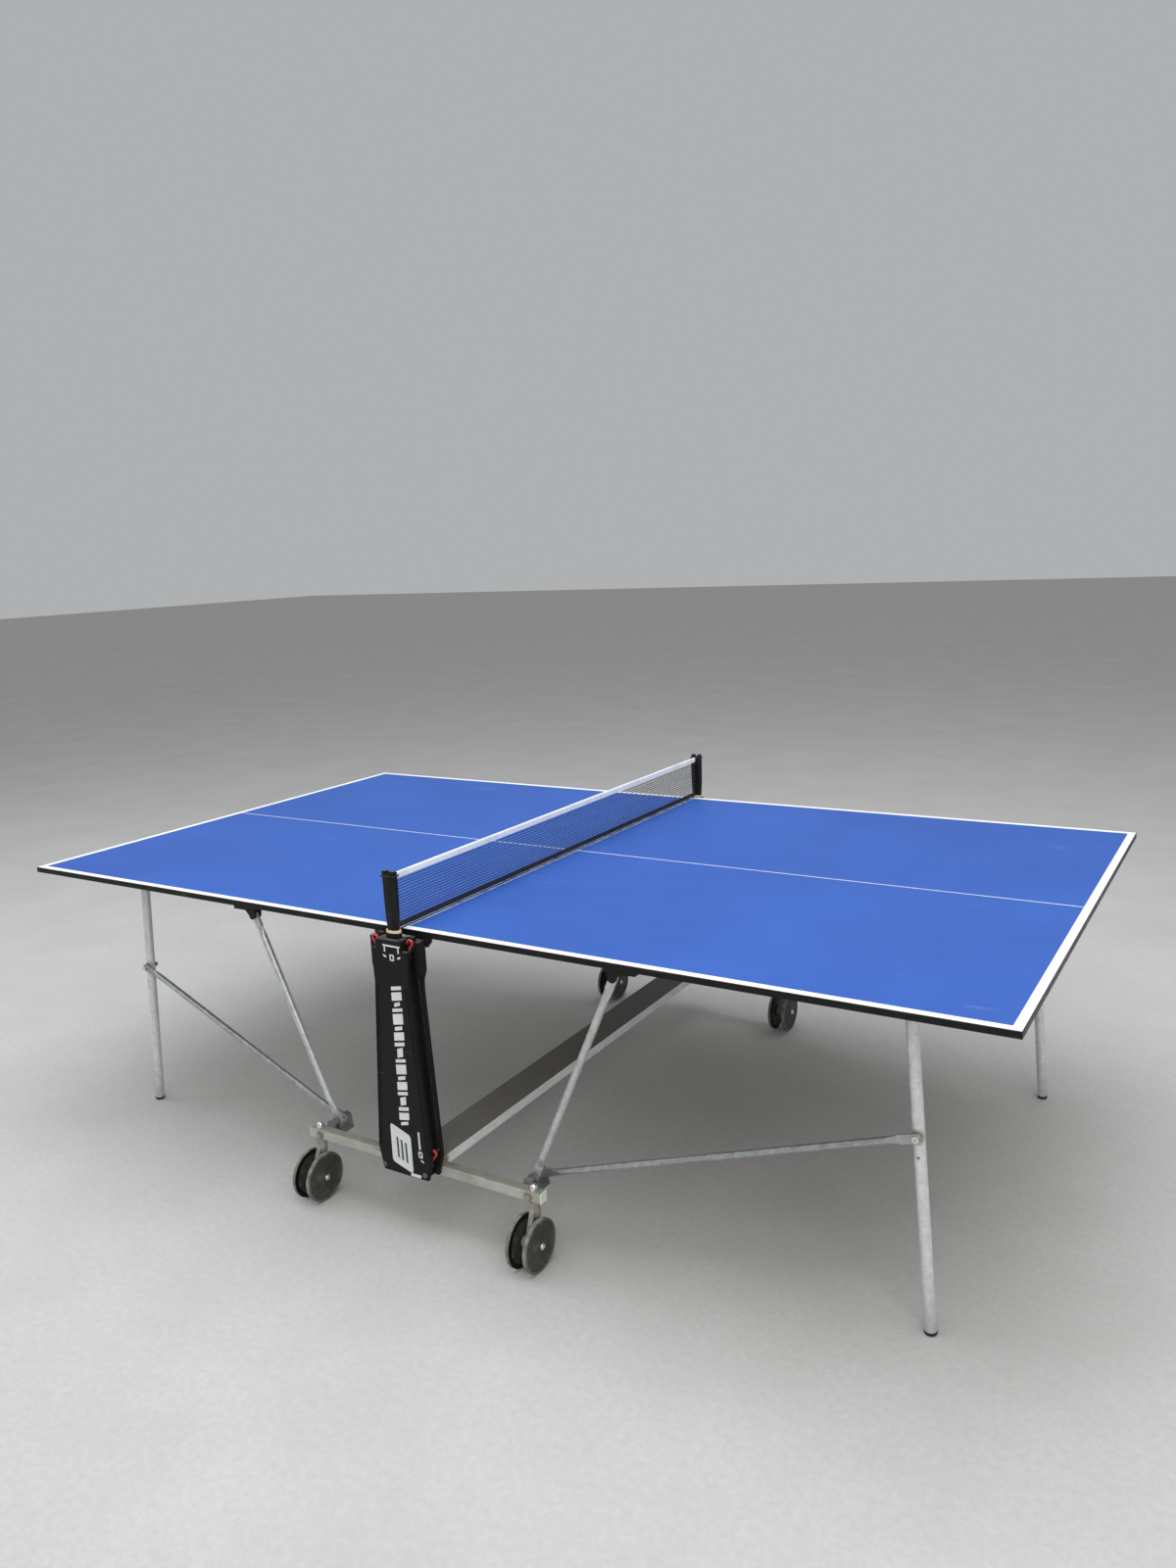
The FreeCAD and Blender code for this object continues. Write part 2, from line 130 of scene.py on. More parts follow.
def buildScuffs():
    inputs = [("Position", vectorKind, (0, 0, 0)), ("Scale", floatKind, 20.0), ("Amount", floatKind, 0.2)]
    group, source, sink = startGroup("scuffMarks", inputs, ["Mask"])
    lines = None
    for turn, factor in ((0.5, 1.0), (-0.9, 0.7), (1.9, 1.3)):
        thin = stretch(group, source["Position"], (1.0, 26.0, 9.0), (0.3 * turn, 0.2, turn))
        marks = noise(group, thin, times(group, source["Scale"], 0.12 * factor), 3.0, 0.5)
        lines = marks if lines is None else larger(group, lines, marks)
    patches = noise(group, source["Position"], times(group, source["Scale"], 0.4), 3.0)
    level = calc(group, "SUBTRACT", 0.86, times(group, source["Amount"], 0.3))
    sharp = times(group, calc(group, "SUBTRACT", lines, level), 22.0, True)
    mask = times(group, sharp, fade(group, patches, 0.42, 0.6))
    group.links.new(mask, sink["Mask"])
    return group


def buildSpecks():
    inputs = [("Position", vectorKind, (0, 0, 0)), ("Scale", floatKind, 60.0), ("Size", floatKind, 0.12),
              ("Share", floatKind, 0.2)]
    group, source, sink = startGroup("tinySpecks", inputs, ["Mask"])
    cells = addNode(group, "ShaderNodeTexVoronoi", {"Vector": source["Position"], "Scale": source["Scale"]})
    dot = calc(group, "LESS_THAN", cells.outputs["Distance"], source["Size"])
    pick = addNode(group, "ShaderNodeSeparateColor", {"Color": cells.outputs["Color"]}).outputs["Red"]
    chosen = calc(group, "LESS_THAN", pick, source["Share"])
    group.links.new(times(group, dot, chosen), sink["Mask"])
    return group


def buildDust():
    inputs = [("Position", vectorKind, (0, 0, 0)), ("Normal", vectorKind, (0, 0, 1)),
              ("Amount", floatKind, 0.5)]
    group, source, sink = startGroup("settledDust", inputs, ["Mask"])
    up = addNode(group, "ShaderNodeSeparateXYZ", {"Vector": source["Normal"]}).outputs["Z"]
    blotch = noise(group, source["Position"], 38.0, 6.0, 0.68)
    lying = times(group, fade(group, up, 0.25, 0.9), fade(group, blotch, 0.32, 0.62))
    group.links.new(times(group, lying, source["Amount"], True), sink["Mask"])
    return group


def buildRust():
    inputs = [("Position", vectorKind, (0, 0, 0)), ("Centre", vectorKind, (0, 0, 0)),
              ("Radius", floatKind, 0.01)]
    group, source, sink = startGroup("rustRing", inputs, ["Mask"])
    reach = addNode(group, "ShaderNodeVectorMath", {0: source["Position"], 1: source["Centre"]},
                    operation="DISTANCE").outputs["Value"]
    ragged = times(group, noise(group, source["Position"], 260.0, 5.0, 0.7), source["Radius"])
    edge = calc(group, "DIVIDE", calc(group, "ADD", reach, ragged), source["Radius"])
    group.links.new(fade(group, edge, 1.7, 1.1), sink["Mask"])
    return group


def buildWeave():
    inputs = [("Position", vectorKind, (0, 0, 0)), ("Pitch", floatKind, 0.001)]
    group, source, sink = startGroup("clothWeave", inputs, ["Height"])
    split = addNode(group, "ShaderNodeSeparateXYZ", {"Vector": source["Position"]}).outputs
    waves = []
    for axis in ("Y", "Z"):
        turns = times(group, calc(group, "DIVIDE", split[axis], source["Pitch"]), math.tau)
        waves.append(calc(group, "SINE", turns))
    crossing = times(group, waves[0], waves[1])
    group.links.new(fade(group, crossing, -1.0, 1.0), sink["Height"])
    return group


grainGroup, scuffGroup, speckGroup = buildGrain(), buildScuffs(), buildSpecks()
dustGroup, rustGroup, weaveGroup = buildDust(), buildRust(), buildWeave()
print("shared effects built:", len(bpy.data.node_groups))


def table(keys, rows):
    # One settings dictionary for each named row of values
    return {name: dict(zip(keys.split(), row)) for name, row in rows.items()}


def useGroup(tree, group, **inputs):
    node = tree.nodes.new("ShaderNodeGroup")
    node.node_tree = group
    for key, value in inputs.items():
        if isinstance(value, bpy.types.NodeSocket):
            tree.links.new(value, node.inputs[key])
        else:
            node.inputs[key].default_value = value
    return node.outputs


class Finish:
    # One material while it is being built: its tree, its shader and where on the object it is
    def __init__(self, name, metallic=0.0, roughness=0.5, specular=0.5):
        self.material = bpy.data.materials.new(name)
        self.material.use_nodes = True
        self.tree = self.material.node_tree
        self.shader = self.tree.nodes["Principled BSDF"]
        fixed = {"Metallic": metallic, "Roughness": roughness, "Specular IOR Level": specular}
        for key, value in fixed.items():
            self.shader.inputs[key].default_value = value
        where = addNode(self.tree, "ShaderNodeTexCoord").outputs
        self.place, self.normal = where["Object"], where["Normal"]
        self.x, self.y, self.z = addNode(self.tree, "ShaderNodeSeparateXYZ", {"Vector": self.place}).outputs
        self.lastBump = None

    def set(self, key, socket):
        self.tree.links.new(socket, self.shader.inputs[key])

    def bump(self, height, distance, strength=1.0):
        inputs = {"Height": height, "Distance": distance, "Strength": strength}
        if self.lastBump:
            inputs["Normal"] = self.lastBump
        self.lastBump = addNode(self.tree, "ShaderNodeBump", inputs).outputs["Normal"]
        self.set("Normal", self.lastBump)

    def noise(self, scale, detail=3.0, roughness=0.55):
        return noise(self.tree, self.place, scale, detail, roughness)

    def grain(self, scale):
        return useGroup(self.tree, grainGroup, Position=self.place, Scale=scale)

    def scuffs(self, scale, amount):
        return useGroup(self.tree, scuffGroup, Position=self.place, Scale=scale, Amount=amount)["Mask"]

    def specks(self, scale, size, share):
        made = useGroup(self.tree, speckGroup, Position=self.place, Scale=scale, Size=size, Share=share)
        return made["Mask"]

    def dust(self, amount):
        return useGroup(self.tree, dustGroup, Position=self.place, Normal=self.normal, Amount=amount)["Mask"]

    def foldedPlace(self):
        # Both sides and both halves read as one, so one rust ring serves four corners
        wide = calc(self.tree, "ABSOLUTE", self.x)
        deep = calc(self.tree, "ABSOLUTE", self.y)
        return addNode(self.tree, "ShaderNodeCombineXYZ", {"X": wide, "Y": deep, "Z": self.z}).outputs[0]


# Playing top

# The pale seam strip beside the net is worn edge paint widened with painted reflected light along the gap
boardPaint = {
    "blue": (0.030, 0.110, 0.450, 1), "deepBlue": (0.024, 0.093, 0.400, 1),
    "skyBlue": (0.052, 0.155, 0.520, 1), "white": (0.90, 0.92, 0.94, 1), "grime": (0.46, 0.46, 0.45, 1),
    "mark": (0.30, 0.38, 0.70, 1), "seamWornLitBlue": (0.55, 0.62, 0.80, 1), "lineFade": 0.0003,
    "lineStartX": 1.350, "lineStartY": 0.7425, "centreHalf": 0.0015, "topLevel": 0.7590,
    "underside": (0.060, 0.052, 0.044, 1), "chips": (0.150, 0.120, 0.090, 1), "seamWornLitWidth": 0.0105,
}


def makeBoardPaint():
    s = boardPaint
    finish = Finish("bluePlayingPaint", roughness=0.55, specular=0.28)
    tree = finish.tree
    grain = finish.grain(420.0)
    cloud = finish.noise(2.3, 5.0, 0.62)
    blue = mixColour(tree, fade(tree, cloud, 0.36, 0.64), s["deepBlue"], s["blue"])
    blue = mixColour(tree, times(tree, fade(tree, grain["Height"], 0.45, 0.75), 0.30), blue, s["skyBlue"])
    specks = finish.specks(26.0, 0.045, 0.30)
    scuffs = finish.scuffs(30.0, 0.55)
    marks = larger(tree, times(tree, specks, 0.35), times(tree, scuffs, 0.22))
    blue = mixColour(tree, marks, blue, s["mark"])

    wide, deep = calc(tree, "ABSOLUTE", finish.x), calc(tree, "ABSOLUTE", finish.y)
    ragged = fade(tree, finish.noise(900.0, 2.0), 0.0, 1.0, -0.0004, 0.0004)
    endEdge, sideEdge = calc(tree, "ADD", wide, ragged), calc(tree, "ADD", deep, ragged)
    endLine = fade(tree, endEdge, s["lineStartX"], s["lineStartX"] + s["lineFade"])
    sideLine = fade(tree, sideEdge, s["lineStartY"], s["lineStartY"] + s["lineFade"])
    centreLine = fade(tree, sideEdge, s["centreHalf"], s["centreHalf"] + s["lineFade"], 1.0, 0.0)
    lines = larger(tree, larger(tree, endLine, sideLine), centreLine)
    dirt = times(tree, fade(tree, finish.noise(24.0, 7.0, 0.72), 0.48, 0.75), 0.26)
    white = mixColour(tree, dirt, s["white"], s["grime"])
    painted = mixColour(tree, lines, blue, white)
    # A pale strip along the seam under the net: worn paint on the boards' edges, widened into a painted strip
    # of reflected light along the gap
    seamWornLitMask = times(tree, fade(tree, wide, s["seamWornLitWidth"], s["seamWornLitWidth"] - 0.0015),
                fade(tree, finish.noise(60.0, 4.0), 0.30, 0.55))
    painted = mixColour(tree, times(tree, seamWornLitMask, 0.75), painted, s["seamWornLitBlue"])

    drawnOut = stretch(tree, finish.place, (1.0, 2.4, 1.0))
    chip = addNode(tree, "ShaderNodeTexVoronoi", {"Vector": drawnOut, "Scale": 95.0})
    tone = addNode(tree, "ShaderNodeSeparateColor", {"Color": chip.outputs["Color"]}).outputs["Green"]
    under = mixColour(tree, tone, s["underside"], s["chips"])
    onTop = calc(tree, "GREATER_THAN", finish.z, s["topLevel"])
    finish.set("Base Color", mixColour(tree, onTop, under, painted))
    gloss = fade(tree, cloud, 0.3, 0.7, 0.50, 0.60)
    gloss = calc(tree, "ADD", gloss, times(tree, scuffs, 0.18))
    finish.set("Roughness", larger(tree, gloss, fade(tree, onTop, 0.0, 1.0, 0.75, 0.0)))
    finish.bump(grain["Height"], 0.00012, 0.35)
    finish.bump(lines, 0.00015, 0.6)
    return finish.material


# Plain finishes: one row each, in linear colour

blackFinishes = table("base pale roughness grain depth scuff dust", {
    "edgeBandPlastic": (0.0055, 0.055, 0.36, 700.0, 0.00005, 0.75, 0.25),
    "towerMoulding": (0.0045, 0.060, 0.52, 620.0, 0.00022, 0.50, 0.70),
    "postMoulding": (0.0055, 0.075, 0.36, 800.0, 0.00010, 0.60, 0.50),
    "hingeMoulding": (0.012, 0.060, 0.46, 760.0, 0.00010, 0.50, 0.30),
    "bracketEnamel": (0.014, 0.090, 0.34, 420.0, 0.00006, 0.70, 0.40),
    "footRubber": (0.013, 0.150, 0.70, 520.0, 0.00018, 0.80, 0.90),
})


def makeBlack(name, s):
    finish = Finish(name, roughness=s["roughness"], specular=0.17)
    tree = finish.tree
    base, pale = (s["base"], s["base"], s["base"] * 1.03, 1), (s["pale"], s["pale"], s["pale"] * 0.97, 1)
    grain = finish.grain(s["grain"])
    colour = mixColour(tree, times(tree, grain["Height"], 0.07), base, pale)
    colour = mixColour(tree, times(tree, grain["Cloud"], 0.06), colour, pale)
    scuffs = finish.scuffs(60.0, s["scuff"])
    colour = mixColour(tree, times(tree, scuffs, 0.55), colour, pale)
    dust = finish.dust(s["dust"])
    colour = mixColour(tree, dust, colour, (0.20, 0.19, 0.175, 1))
    finish.set("Base Color", colour)
    rough = fade(tree, grain["Cloud"], 0.0, 1.0, s["roughness"] - 0.06, s["roughness"] + 0.08)
    finish.set("Roughness", calc(tree, "ADD", rough, times(tree, dust, 0.3), True))
    finish.bump(grain["Height"], s["depth"], 0.6)
    return finish.material


metalFinishes = table("base pale stain metallic roughness spangle spread foot", {
    "legTubePaint": ((0.56, 0.58, 0.57, 1), (0.80, 0.82, 0.81, 1), (0.25, 0.25, 0.23, 1), 0.35, 0.38,
                     120.0, 0.75, 0.16),
    "strutTubeZinc": ((0.40, 0.43, 0.41, 1), (0.66, 0.69, 0.67, 1), (0.20, 0.19, 0.17, 1), 0.60, 0.34,
                      150.0, 0.6, 0.0),
    # Stays: the struts' zinc, a little duller, painted darker as shade since they face down under the table
    "shadedStayZinc": ((0.27, 0.29, 0.28, 1), (0.50, 0.53, 0.52, 1), (0.10, 0.10, 0.09, 1), 0.70, 0.32,
                     150.0, 0.7, 0.0),
    "brightBolt": ((0.62, 0.61, 0.58, 1), (0.86, 0.86, 0.84, 1), (0.30, 0.24, 0.17, 1), 0.95, 0.22, 300.0,
                   0.8, 0.0),
    "dimScrew": ((0.10, 0.10, 0.098, 1), (0.20, 0.20, 0.195, 1), (0.06, 0.055, 0.045, 1), 0.60, 0.42,
                 300.0, 0.8, 0.0),
    # Pivot brackets: zinc painted dark grey as shade
    "shadedBracketZinc": ((0.15, 0.155, 0.145, 1), (0.30, 0.31, 0.29, 1), (0.09, 0.07, 0.05, 1), 0.45, 0.46,
                    120.0, 0.9, 0.0),
    # Fork steel: rusty brown, darkened further as painted shade; the rail bolts share it
    "forkPlateShaded": ((0.22, 0.20, 0.17, 1), (0.48, 0.46, 0.42, 1), (0.16, 0.075, 0.030, 1), 0.45, 0.50, 90.0,
                  1.25, 0.0),
})


def makeMetal(name, s, rustCentre=None):
    finish = Finish(name, metallic=s["metallic"], roughness=s["roughness"])
    tree = finish.tree
    grain = finish.grain(520.0)
    inputs = {"Vector": finish.place, "Scale": s["spangle"]}
    cells = addNode(tree, "ShaderNodeTexVoronoi", inputs, feature="SMOOTH_F1")
    tone = addNode(tree, "ShaderNodeSeparateColor", {"Color": cells.outputs["Color"]}).outputs["Blue"]
    cloud = finish.noise(55.0, 6.0, 0.7)
    patchy = calc(tree, "ADD", times(tree, tone, 0.35), times(tree, fade(tree, cloud, 0.35, 0.65), 0.65))
    colour = mixColour(tree, patchy, s["base"], s["pale"])
    stain = fade(tree, finish.noise(17.0, 8.0, 0.74), 0.66 - 0.09 * s["spread"], 0.80, 0.0, 0.8)
    dots = finish.specks(140.0, 0.16, 0.16)
    stain = larger(tree, stain, times(tree, dots, 0.45))
    if s["foot"]:
        low = fade(tree, calc(tree, "ADD", finish.z, times(tree, cloud, 0.08)), s["foot"], 0.03, 0.0, 0.55)
        stain = larger(tree, stain, low)
    colour = mixColour(tree, stain, colour, s["stain"])
    if rustCentre:
        folded = finish.foldedPlace()
        rust = useGroup(tree, rustGroup, Position=folded, Centre=rustCentre, Radius=0.016)["Mask"]
        colour = mixColour(tree, times(tree, rust, 0.75), colour, (0.16, 0.075, 0.030, 1))
        stain = larger(tree, stain, rust)
    finish.set("Base Color", colour)
    rough = fade(tree, cloud, 0.3, 0.7, s["roughness"] - 0.06, s["roughness"] + 0.10)
    finish.set("Roughness", calc(tree, "ADD", rough, times(tree, stain, 0.30), True))
    finish.set("Metallic", fade(tree, stain, 0.0, 1.0, s["metallic"], 0.05))
    finish.bump(grain["Height"], 0.00006, 0.4)
    return finish.material


# Upward faces of the rails and beam are darkened evenly towards the dust colour: part settled dust, part
# painted shade from the table top above. The beam's dust colour is mostly this painted shade.
frameFinishes = table("base pale dust amount evenTop rust radius", {
    "railPaint": ((0.34, 0.345, 0.30, 1), (0.50, 0.51, 0.46, 1), (0.15, 0.135, 0.11, 1), 0.75, 0.55,
                  (0.318, 0.7685, 0.168), 0.0125),
    "beamPaint": ((0.78, 0.80, 0.79, 1), (0.90, 0.92, 0.91, 1), (0.150, 0.140, 0.122, 1), 0.9, 0.93,
                  (0.049, 0.730, 0.172), 0.020),
})


def makeFramePaint(name, s):
    finish = Finish(name, roughness=0.42)
    tree = finish.tree
    grain = finish.grain(360.0)
    colour = mixColour(tree, grain["Cloud"], s["base"], s["pale"])
    streak = noise(tree, stretch(tree, finish.place, (3.0, 3.0, 60.0)), 6.0, 5.0, 0.6)
    colour = mixColour(tree, fade(tree, streak, 0.5, 0.8, 0.0, 0.45), colour, s["dust"])
    dust = finish.dust(s["amount"])
    facing = addNode(tree, "ShaderNodeSeparateXYZ", {"Vector": finish.normal}).outputs["Z"]
    # Painted shade with dust: upward faces darkened evenly, as shade under the table top
    dust = larger(tree, dust, fade(tree, facing, 0.5, 0.9, 0.0, s["evenTop"]))
    colour = mixColour(tree, dust, colour, s["dust"])
    folded = finish.foldedPlace()
    rust = useGroup(tree, rustGroup, Position=folded, Centre=s["rust"], Radius=s["radius"])["Mask"]
    chips = finish.specks(85.0, 0.17, 0.07)
    rust = larger(tree, rust, times(tree, chips, 0.7))
    scuffs = finish.scuffs(70.0, 0.6)
    colour = mixColour(tree, times(tree, scuffs, 0.5), colour, (0.16, 0.155, 0.14, 1))
    colour = mixColour(tree, times(tree, rust, 0.85), colour, (0.20, 0.085, 0.030, 1))
    finish.set("Base Color", colour)
    rough = fade(tree, grain["Cloud"], 0.0, 1.0, 0.36, 0.50)
    finish.set("Roughness", calc(tree, "ADD", rough, times(tree, larger(tree, dust, rust), 0.35), True))
    finish.bump(grain["Height"], 0.00010, 0.5)
    finish.bump(rust, 0.00020, 0.6)
    return finish.material


colouredFinishes = table("base pale roughness dust darkStem", {
    "hookRed": ((0.33, 0.007, 0.012, 1), (0.50, 0.030, 0.032, 1), 0.34, 0.25, (0.600, 0.724, 0.213)),
    "collarCream": ((0.66, 0.50, 0.24, 1), (0.80, 0.70, 0.45, 1), 0.45, 0.30, None),
    "endCapWhite": ((0.52, 0.53, 0.50, 1), (0.72, 0.73, 0.70, 1), 0.48, 0.35, None),
    "printWhite": ((0.62, 0.64, 0.63, 1), (0.74, 0.76, 0.75, 1), 0.50, 0.0, None),
    "printGrey": ((0.030, 0.030, 0.032, 1), (0.055, 0.055, 0.055, 1), 0.50, 0.0, None),
})


def makeColoured(name, s):
    finish = Finish(name, roughness=s["roughness"])
    tree = finish.tree
    grain = finish.grain(520.0)
    colour = mixColour(tree, grain["Cloud"], s["base"], s["pale"])
    scuffs = finish.scuffs(160.0, 0.7)
    colour = mixColour(tree, times(tree, scuffs, 0.45), colour, (0.10, 0.10, 0.10, 1))
    dust = finish.dust(s["dust"])
    colour = mixColour(tree, dust, colour, (0.24, 0.22, 0.19, 1))
    if s["darkStem"]:     # the stem and boss are black up to a level, and the eye above is coloured
        lowStem, highStem, lowTop = s["darkStem"]
        above = calc(tree, "GREATER_THAN", finish.z, lowStem)
        below = calc(tree, "LESS_THAN", finish.z, highStem)
        inner = times(tree, above, below)
        inner = larger(tree, inner, calc(tree, "LESS_THAN", finish.z, lowTop))
        colour = mixColour(tree, inner, colour, (0.010, 0.010, 0.010, 1))
    finish.set("Base Color", colour)
    rough = fade(tree, grain["Height"], 0.2, 0.8, s["roughness"] - 0.08, s["roughness"] + 0.10)
    finish.set("Roughness", rough)
    finish.bump(grain["Height"], 0.00006, 0.5)
    return finish.material


clothFinishes = table("base shade pitch roughness stain", {
    "tapeCloth": ((0.94, 0.95, 0.94, 1), (0.84, 0.86, 0.86, 1), 0.0011, 0.78, (0.46, 0.45, 0.42, 1)),
    "bandCloth": ((0.012, 0.013, 0.018, 1), (0.030, 0.032, 0.040, 1), 0.0011, 0.72, (0.06, 0.06, 0.06, 1)),
    "netThread": ((0.010, 0.013, 0.030, 1), (0.028, 0.034, 0.062, 1), 0.0008, 0.60, (0.08, 0.08, 0.09, 1)),
})


def makeCloth(name, s):
    finish = Finish(name, roughness=s["roughness"], specular=0.25)
    tree = finish.tree
    weave = useGroup(tree, weaveGroup, Position=finish.place, Pitch=s["pitch"])["Height"]
    grain = finish.grain(300.0)
    colour = mixColour(tree, weave, s["shade"], s["base"])
    stain = fade(tree, finish.noise(9.0, 7.0, 0.7), 0.50, 0.78, 0.0, 0.6)
    colour = mixColour(tree, stain, colour, s["stain"])
    finish.set("Base Color", colour)
    rough = fade(tree, grain["Cloud"], 0.0, 1.0, s["roughness"] - 0.06, s["roughness"] + 0.10)
    finish.set("Roughness", rough)
    finish.bump(weave, 0.00020, 0.7)
    finish.bump(grain["Height"], 0.00010, 0.4)
    return finish.material


wheelFinish = {
    "face": (0.034, 0.033, 0.032, 1), "faceWorn": (0.100, 0.098, 0.093, 1), "tread": (0.105, 0.098, 0.085, 1),
    "treadDust": (0.300, 0.285, 0.250, 1), "inside": (0.0030, 0.0030, 0.0031, 1), "rimRadius": 0.0562,
    "treadRadius": 0.0612, "innerFace": 0.0178,
}


def makeWheelPlastic():
    s = wheelFinish
    finish = Finish("wheelPlastic", roughness=0.5, specular=0.22)
    tree = finish.tree
    squares = calc(tree, "ADD", calc(tree, "POWER", finish.y, 2.0), calc(tree, "POWER", finish.z, 2.0))
    radius = calc(tree, "SQRT", squares)
    grain = finish.grain(480.0)
    blotch = fade(tree, finish.noise(45.0, 7.0, 0.72), 0.36, 0.66)
    face = mixColour(tree, times(tree, blotch, 0.55), s["face"], s["faceWorn"])
    tread = mixColour(tree, blotch, s["tread"], s["treadDust"])
    rim = fade(tree, radius, s["rimRadius"] - 0.0008, s["rimRadius"] + 0.0008, 0.0, 0.50)
    outer = fade(tree, radius, s["treadRadius"] - 0.0012, s["treadRadius"] + 0.0003)
    colour = mixColour(tree, larger(tree, rim, outer), face, tread)
    scuffs = finish.scuffs(130.0, 0.9)
    colour = mixColour(tree, times(tree, scuffs, 0.45), colour, (0.22, 0.215, 0.20, 1))
    # Inner faces between the two discs: clean black plastic, made near black as painted shade in the gap
    # between the discs
    shadedGap = fade(tree, calc(tree, "ABSOLUTE", finish.x), s["innerFace"], s["innerFace"] + 0.0022, 1.0, 0.0)
    finish.set("Base Color", mixColour(tree, shadedGap, colour, s["inside"]))
    finish.set("Roughness", fade(tree, larger(tree, outer, blotch), 0.0, 1.0, 0.42, 0.72))
    finish.bump(grain["Height"], 0.00016, 0.6)
    return finish.material


materials = {"bluePlayingPaint": makeBoardPaint(), "wheelPlastic": makeWheelPlastic()}
materials.update({name: makeBlack(name, row) for name, row in blackFinishes.items()})
legJoint = (1.1474, 0.5975, 0.433)
for finishName, row in metalFinishes.items():
    materials[finishName] = makeMetal(finishName, row, legJoint if finishName == "legTubePaint" else None)
materials.update({name: makeFramePaint(name, row) for name, row in frameFinishes.items()})
materials.update({name: makeColoured(name, row) for name, row in colouredFinishes.items()})
materials.update({name: makeCloth(name, row) for name, row in clothFinishes.items()})
print("materials built:", len(materials))


# Finish of each CAD node, by the end of its name

nodeFinishes = {
    "_board": "bluePlayingPaint", "_edge_band": "edgeBandPlastic", "_guide_brackets": "bracketEnamel",
    "_hinge_blocks": "hingeMoulding", "_leg_brackets": "hingeMoulding", "_sliders": "hingeMoulding",
    "_struts": "strutTubeZinc", "_stays": "shadedStayZinc", "_leg_frame": "legTubePaint",
    "_foot_caps": "footRubber", "_leg_bolts": "brightBolt", "_rail": "railPaint", "cross_beam": "beamPaint",
    "rail_end_caps": "endCapWhite", "_tower_front": "towerMoulding", "_tower_back": "towerMoulding",
    "tower_screws": "dimScrew", "_net_post": "postMoulding", "post_collars": "collarCream",
    "net_tape": "tapeCloth", "net_mesh": "netThread", "net_band": "bandCloth",
    "caster_stems": "brightBolt", "rail_bolts": "forkPlateShaded", "pivot_brackets": "shadedBracketZinc",
    "_fork": "forkPlateShaded", "_axle": "brightBolt", "_wheels": "wheelPlastic", "_latch": "hookRed",
}
for nodeName, node in nodes.items():
    ending = next(e for e in nodeFinishes if nodeName.endswith(e))
    for materialSlot in node.material_slots:
        materialSlot.material = materials[nodeFinishes[ending]]
print("CAD nodes finished")


# Mesh helpers

def addBlock(bm, low, high, rounding=0.0006, turn=None):
    low, high = Vector(low), Vector(high)
    place = Matrix.Translation((low + high) / 2) @ Matrix.Diagonal((*(high - low), 1.0))
    verts = bmesh.ops.create_cube(bm, size=1.0, matrix=place)["verts"]
    if turn:
        bmesh.ops.transform(bm, matrix=turn, verts=verts)
    edges = list(dict.fromkeys(edge for vert in verts for edge in vert.link_edges))
    bmesh.ops.bevel(bm, geom=edges, offset=rounding, segments=2, affect="EDGES", profile=0.6)


def addLathe(bm, profile, place, steps=32, closed=False):
    # profile is a list of (radius, height) along the local Z axis of place
    rings = []
    for radius, height in profile:
        if radius < 1e-6:
            rings.append([bm.verts.new(place @ Vector((0, 0, height)))])
            continue
        angles = [math.tau * k / steps for k in range(steps)]
        ring = [(radius * math.cos(a), radius * math.sin(a), height) for a in angles]
        rings.append([bm.verts.new(place @ Vector(point)) for point in ring])
    pairs = list(zip(rings, rings[1:]))
    if closed:
        pairs.append((rings[-1], rings[0]))
    for low, high in pairs:
        for k in range(steps):
            n = (k + 1) % steps
            corners = [low[k % len(low)], low[n % len(low)], high[n % len(high)], high[k % len(high)]]
            bm.faces.new(list(dict.fromkeys(corners)))


def addPrism(bm, outline, start, end):
    # outline is a list of (x, z), pushed from y = start to y = end
    low = [bm.verts.new((x, start, z)) for x, z in outline]
    high = [bm.verts.new((x, end, z)) for x, z in outline]
    bm.faces.new(low)
    bm.faces.new(list(reversed(high)))
    count = len(outline)
    for k in range(count):
        n = (k + 1) % count
        bm.faces.new((low[k], high[k], high[n], low[n]))


def addSweep(bm, points, sizes, side, steps=12):
    # A tube along points. sizes holds (across, along side) half widths, and side is square to the path
    side = Vector(side).normalized()
    rings = []
    for k, point in enumerate(points):
        ahead = Vector(points[min(k + 1, len(points) - 1)]) - Vector(points[max(k - 1, 0)])
        across = ahead.normalized().cross(side).normalized()
        wide, deep = sizes[k]
        ring = []
        for step in range(steps):
            a = math.tau * step / steps
            place = Vector(point) + across * (wide * math.cos(a))
            ring.append(bm.verts.new(place + side * (deep * math.sin(a))))
        rings.append(ring)
    for low, high in zip(rings, rings[1:]):
        for step in range(steps):
            n = (step + 1) % steps
            bm.faces.new((low[step], low[n], high[n], high[step]))
    bm.faces.new(rings[0])
    bm.faces.new(list(reversed(rings[-1])))


def roundCorners(points, radius, steps=4):
    # Replaces each corner of a flat outline with a short curve
    made = []
    for k, corner in enumerate(points):
        here = Vector(corner)
        before, after = Vector(points[k - 1]) - here, Vector(points[(k + 1) % len(points)]) - here
        cut = min(radius, before.length / 2.2, after.length / 2.2)
        start, end = here + before.normalized() * cut, here + after.normalized() * cut
        for step in range(steps + 1):
            t = step / steps
            made.append(tuple(start * (1 - t) ** 2 + here * (2 * t * (1 - t)) + end * t ** 2))
    return made


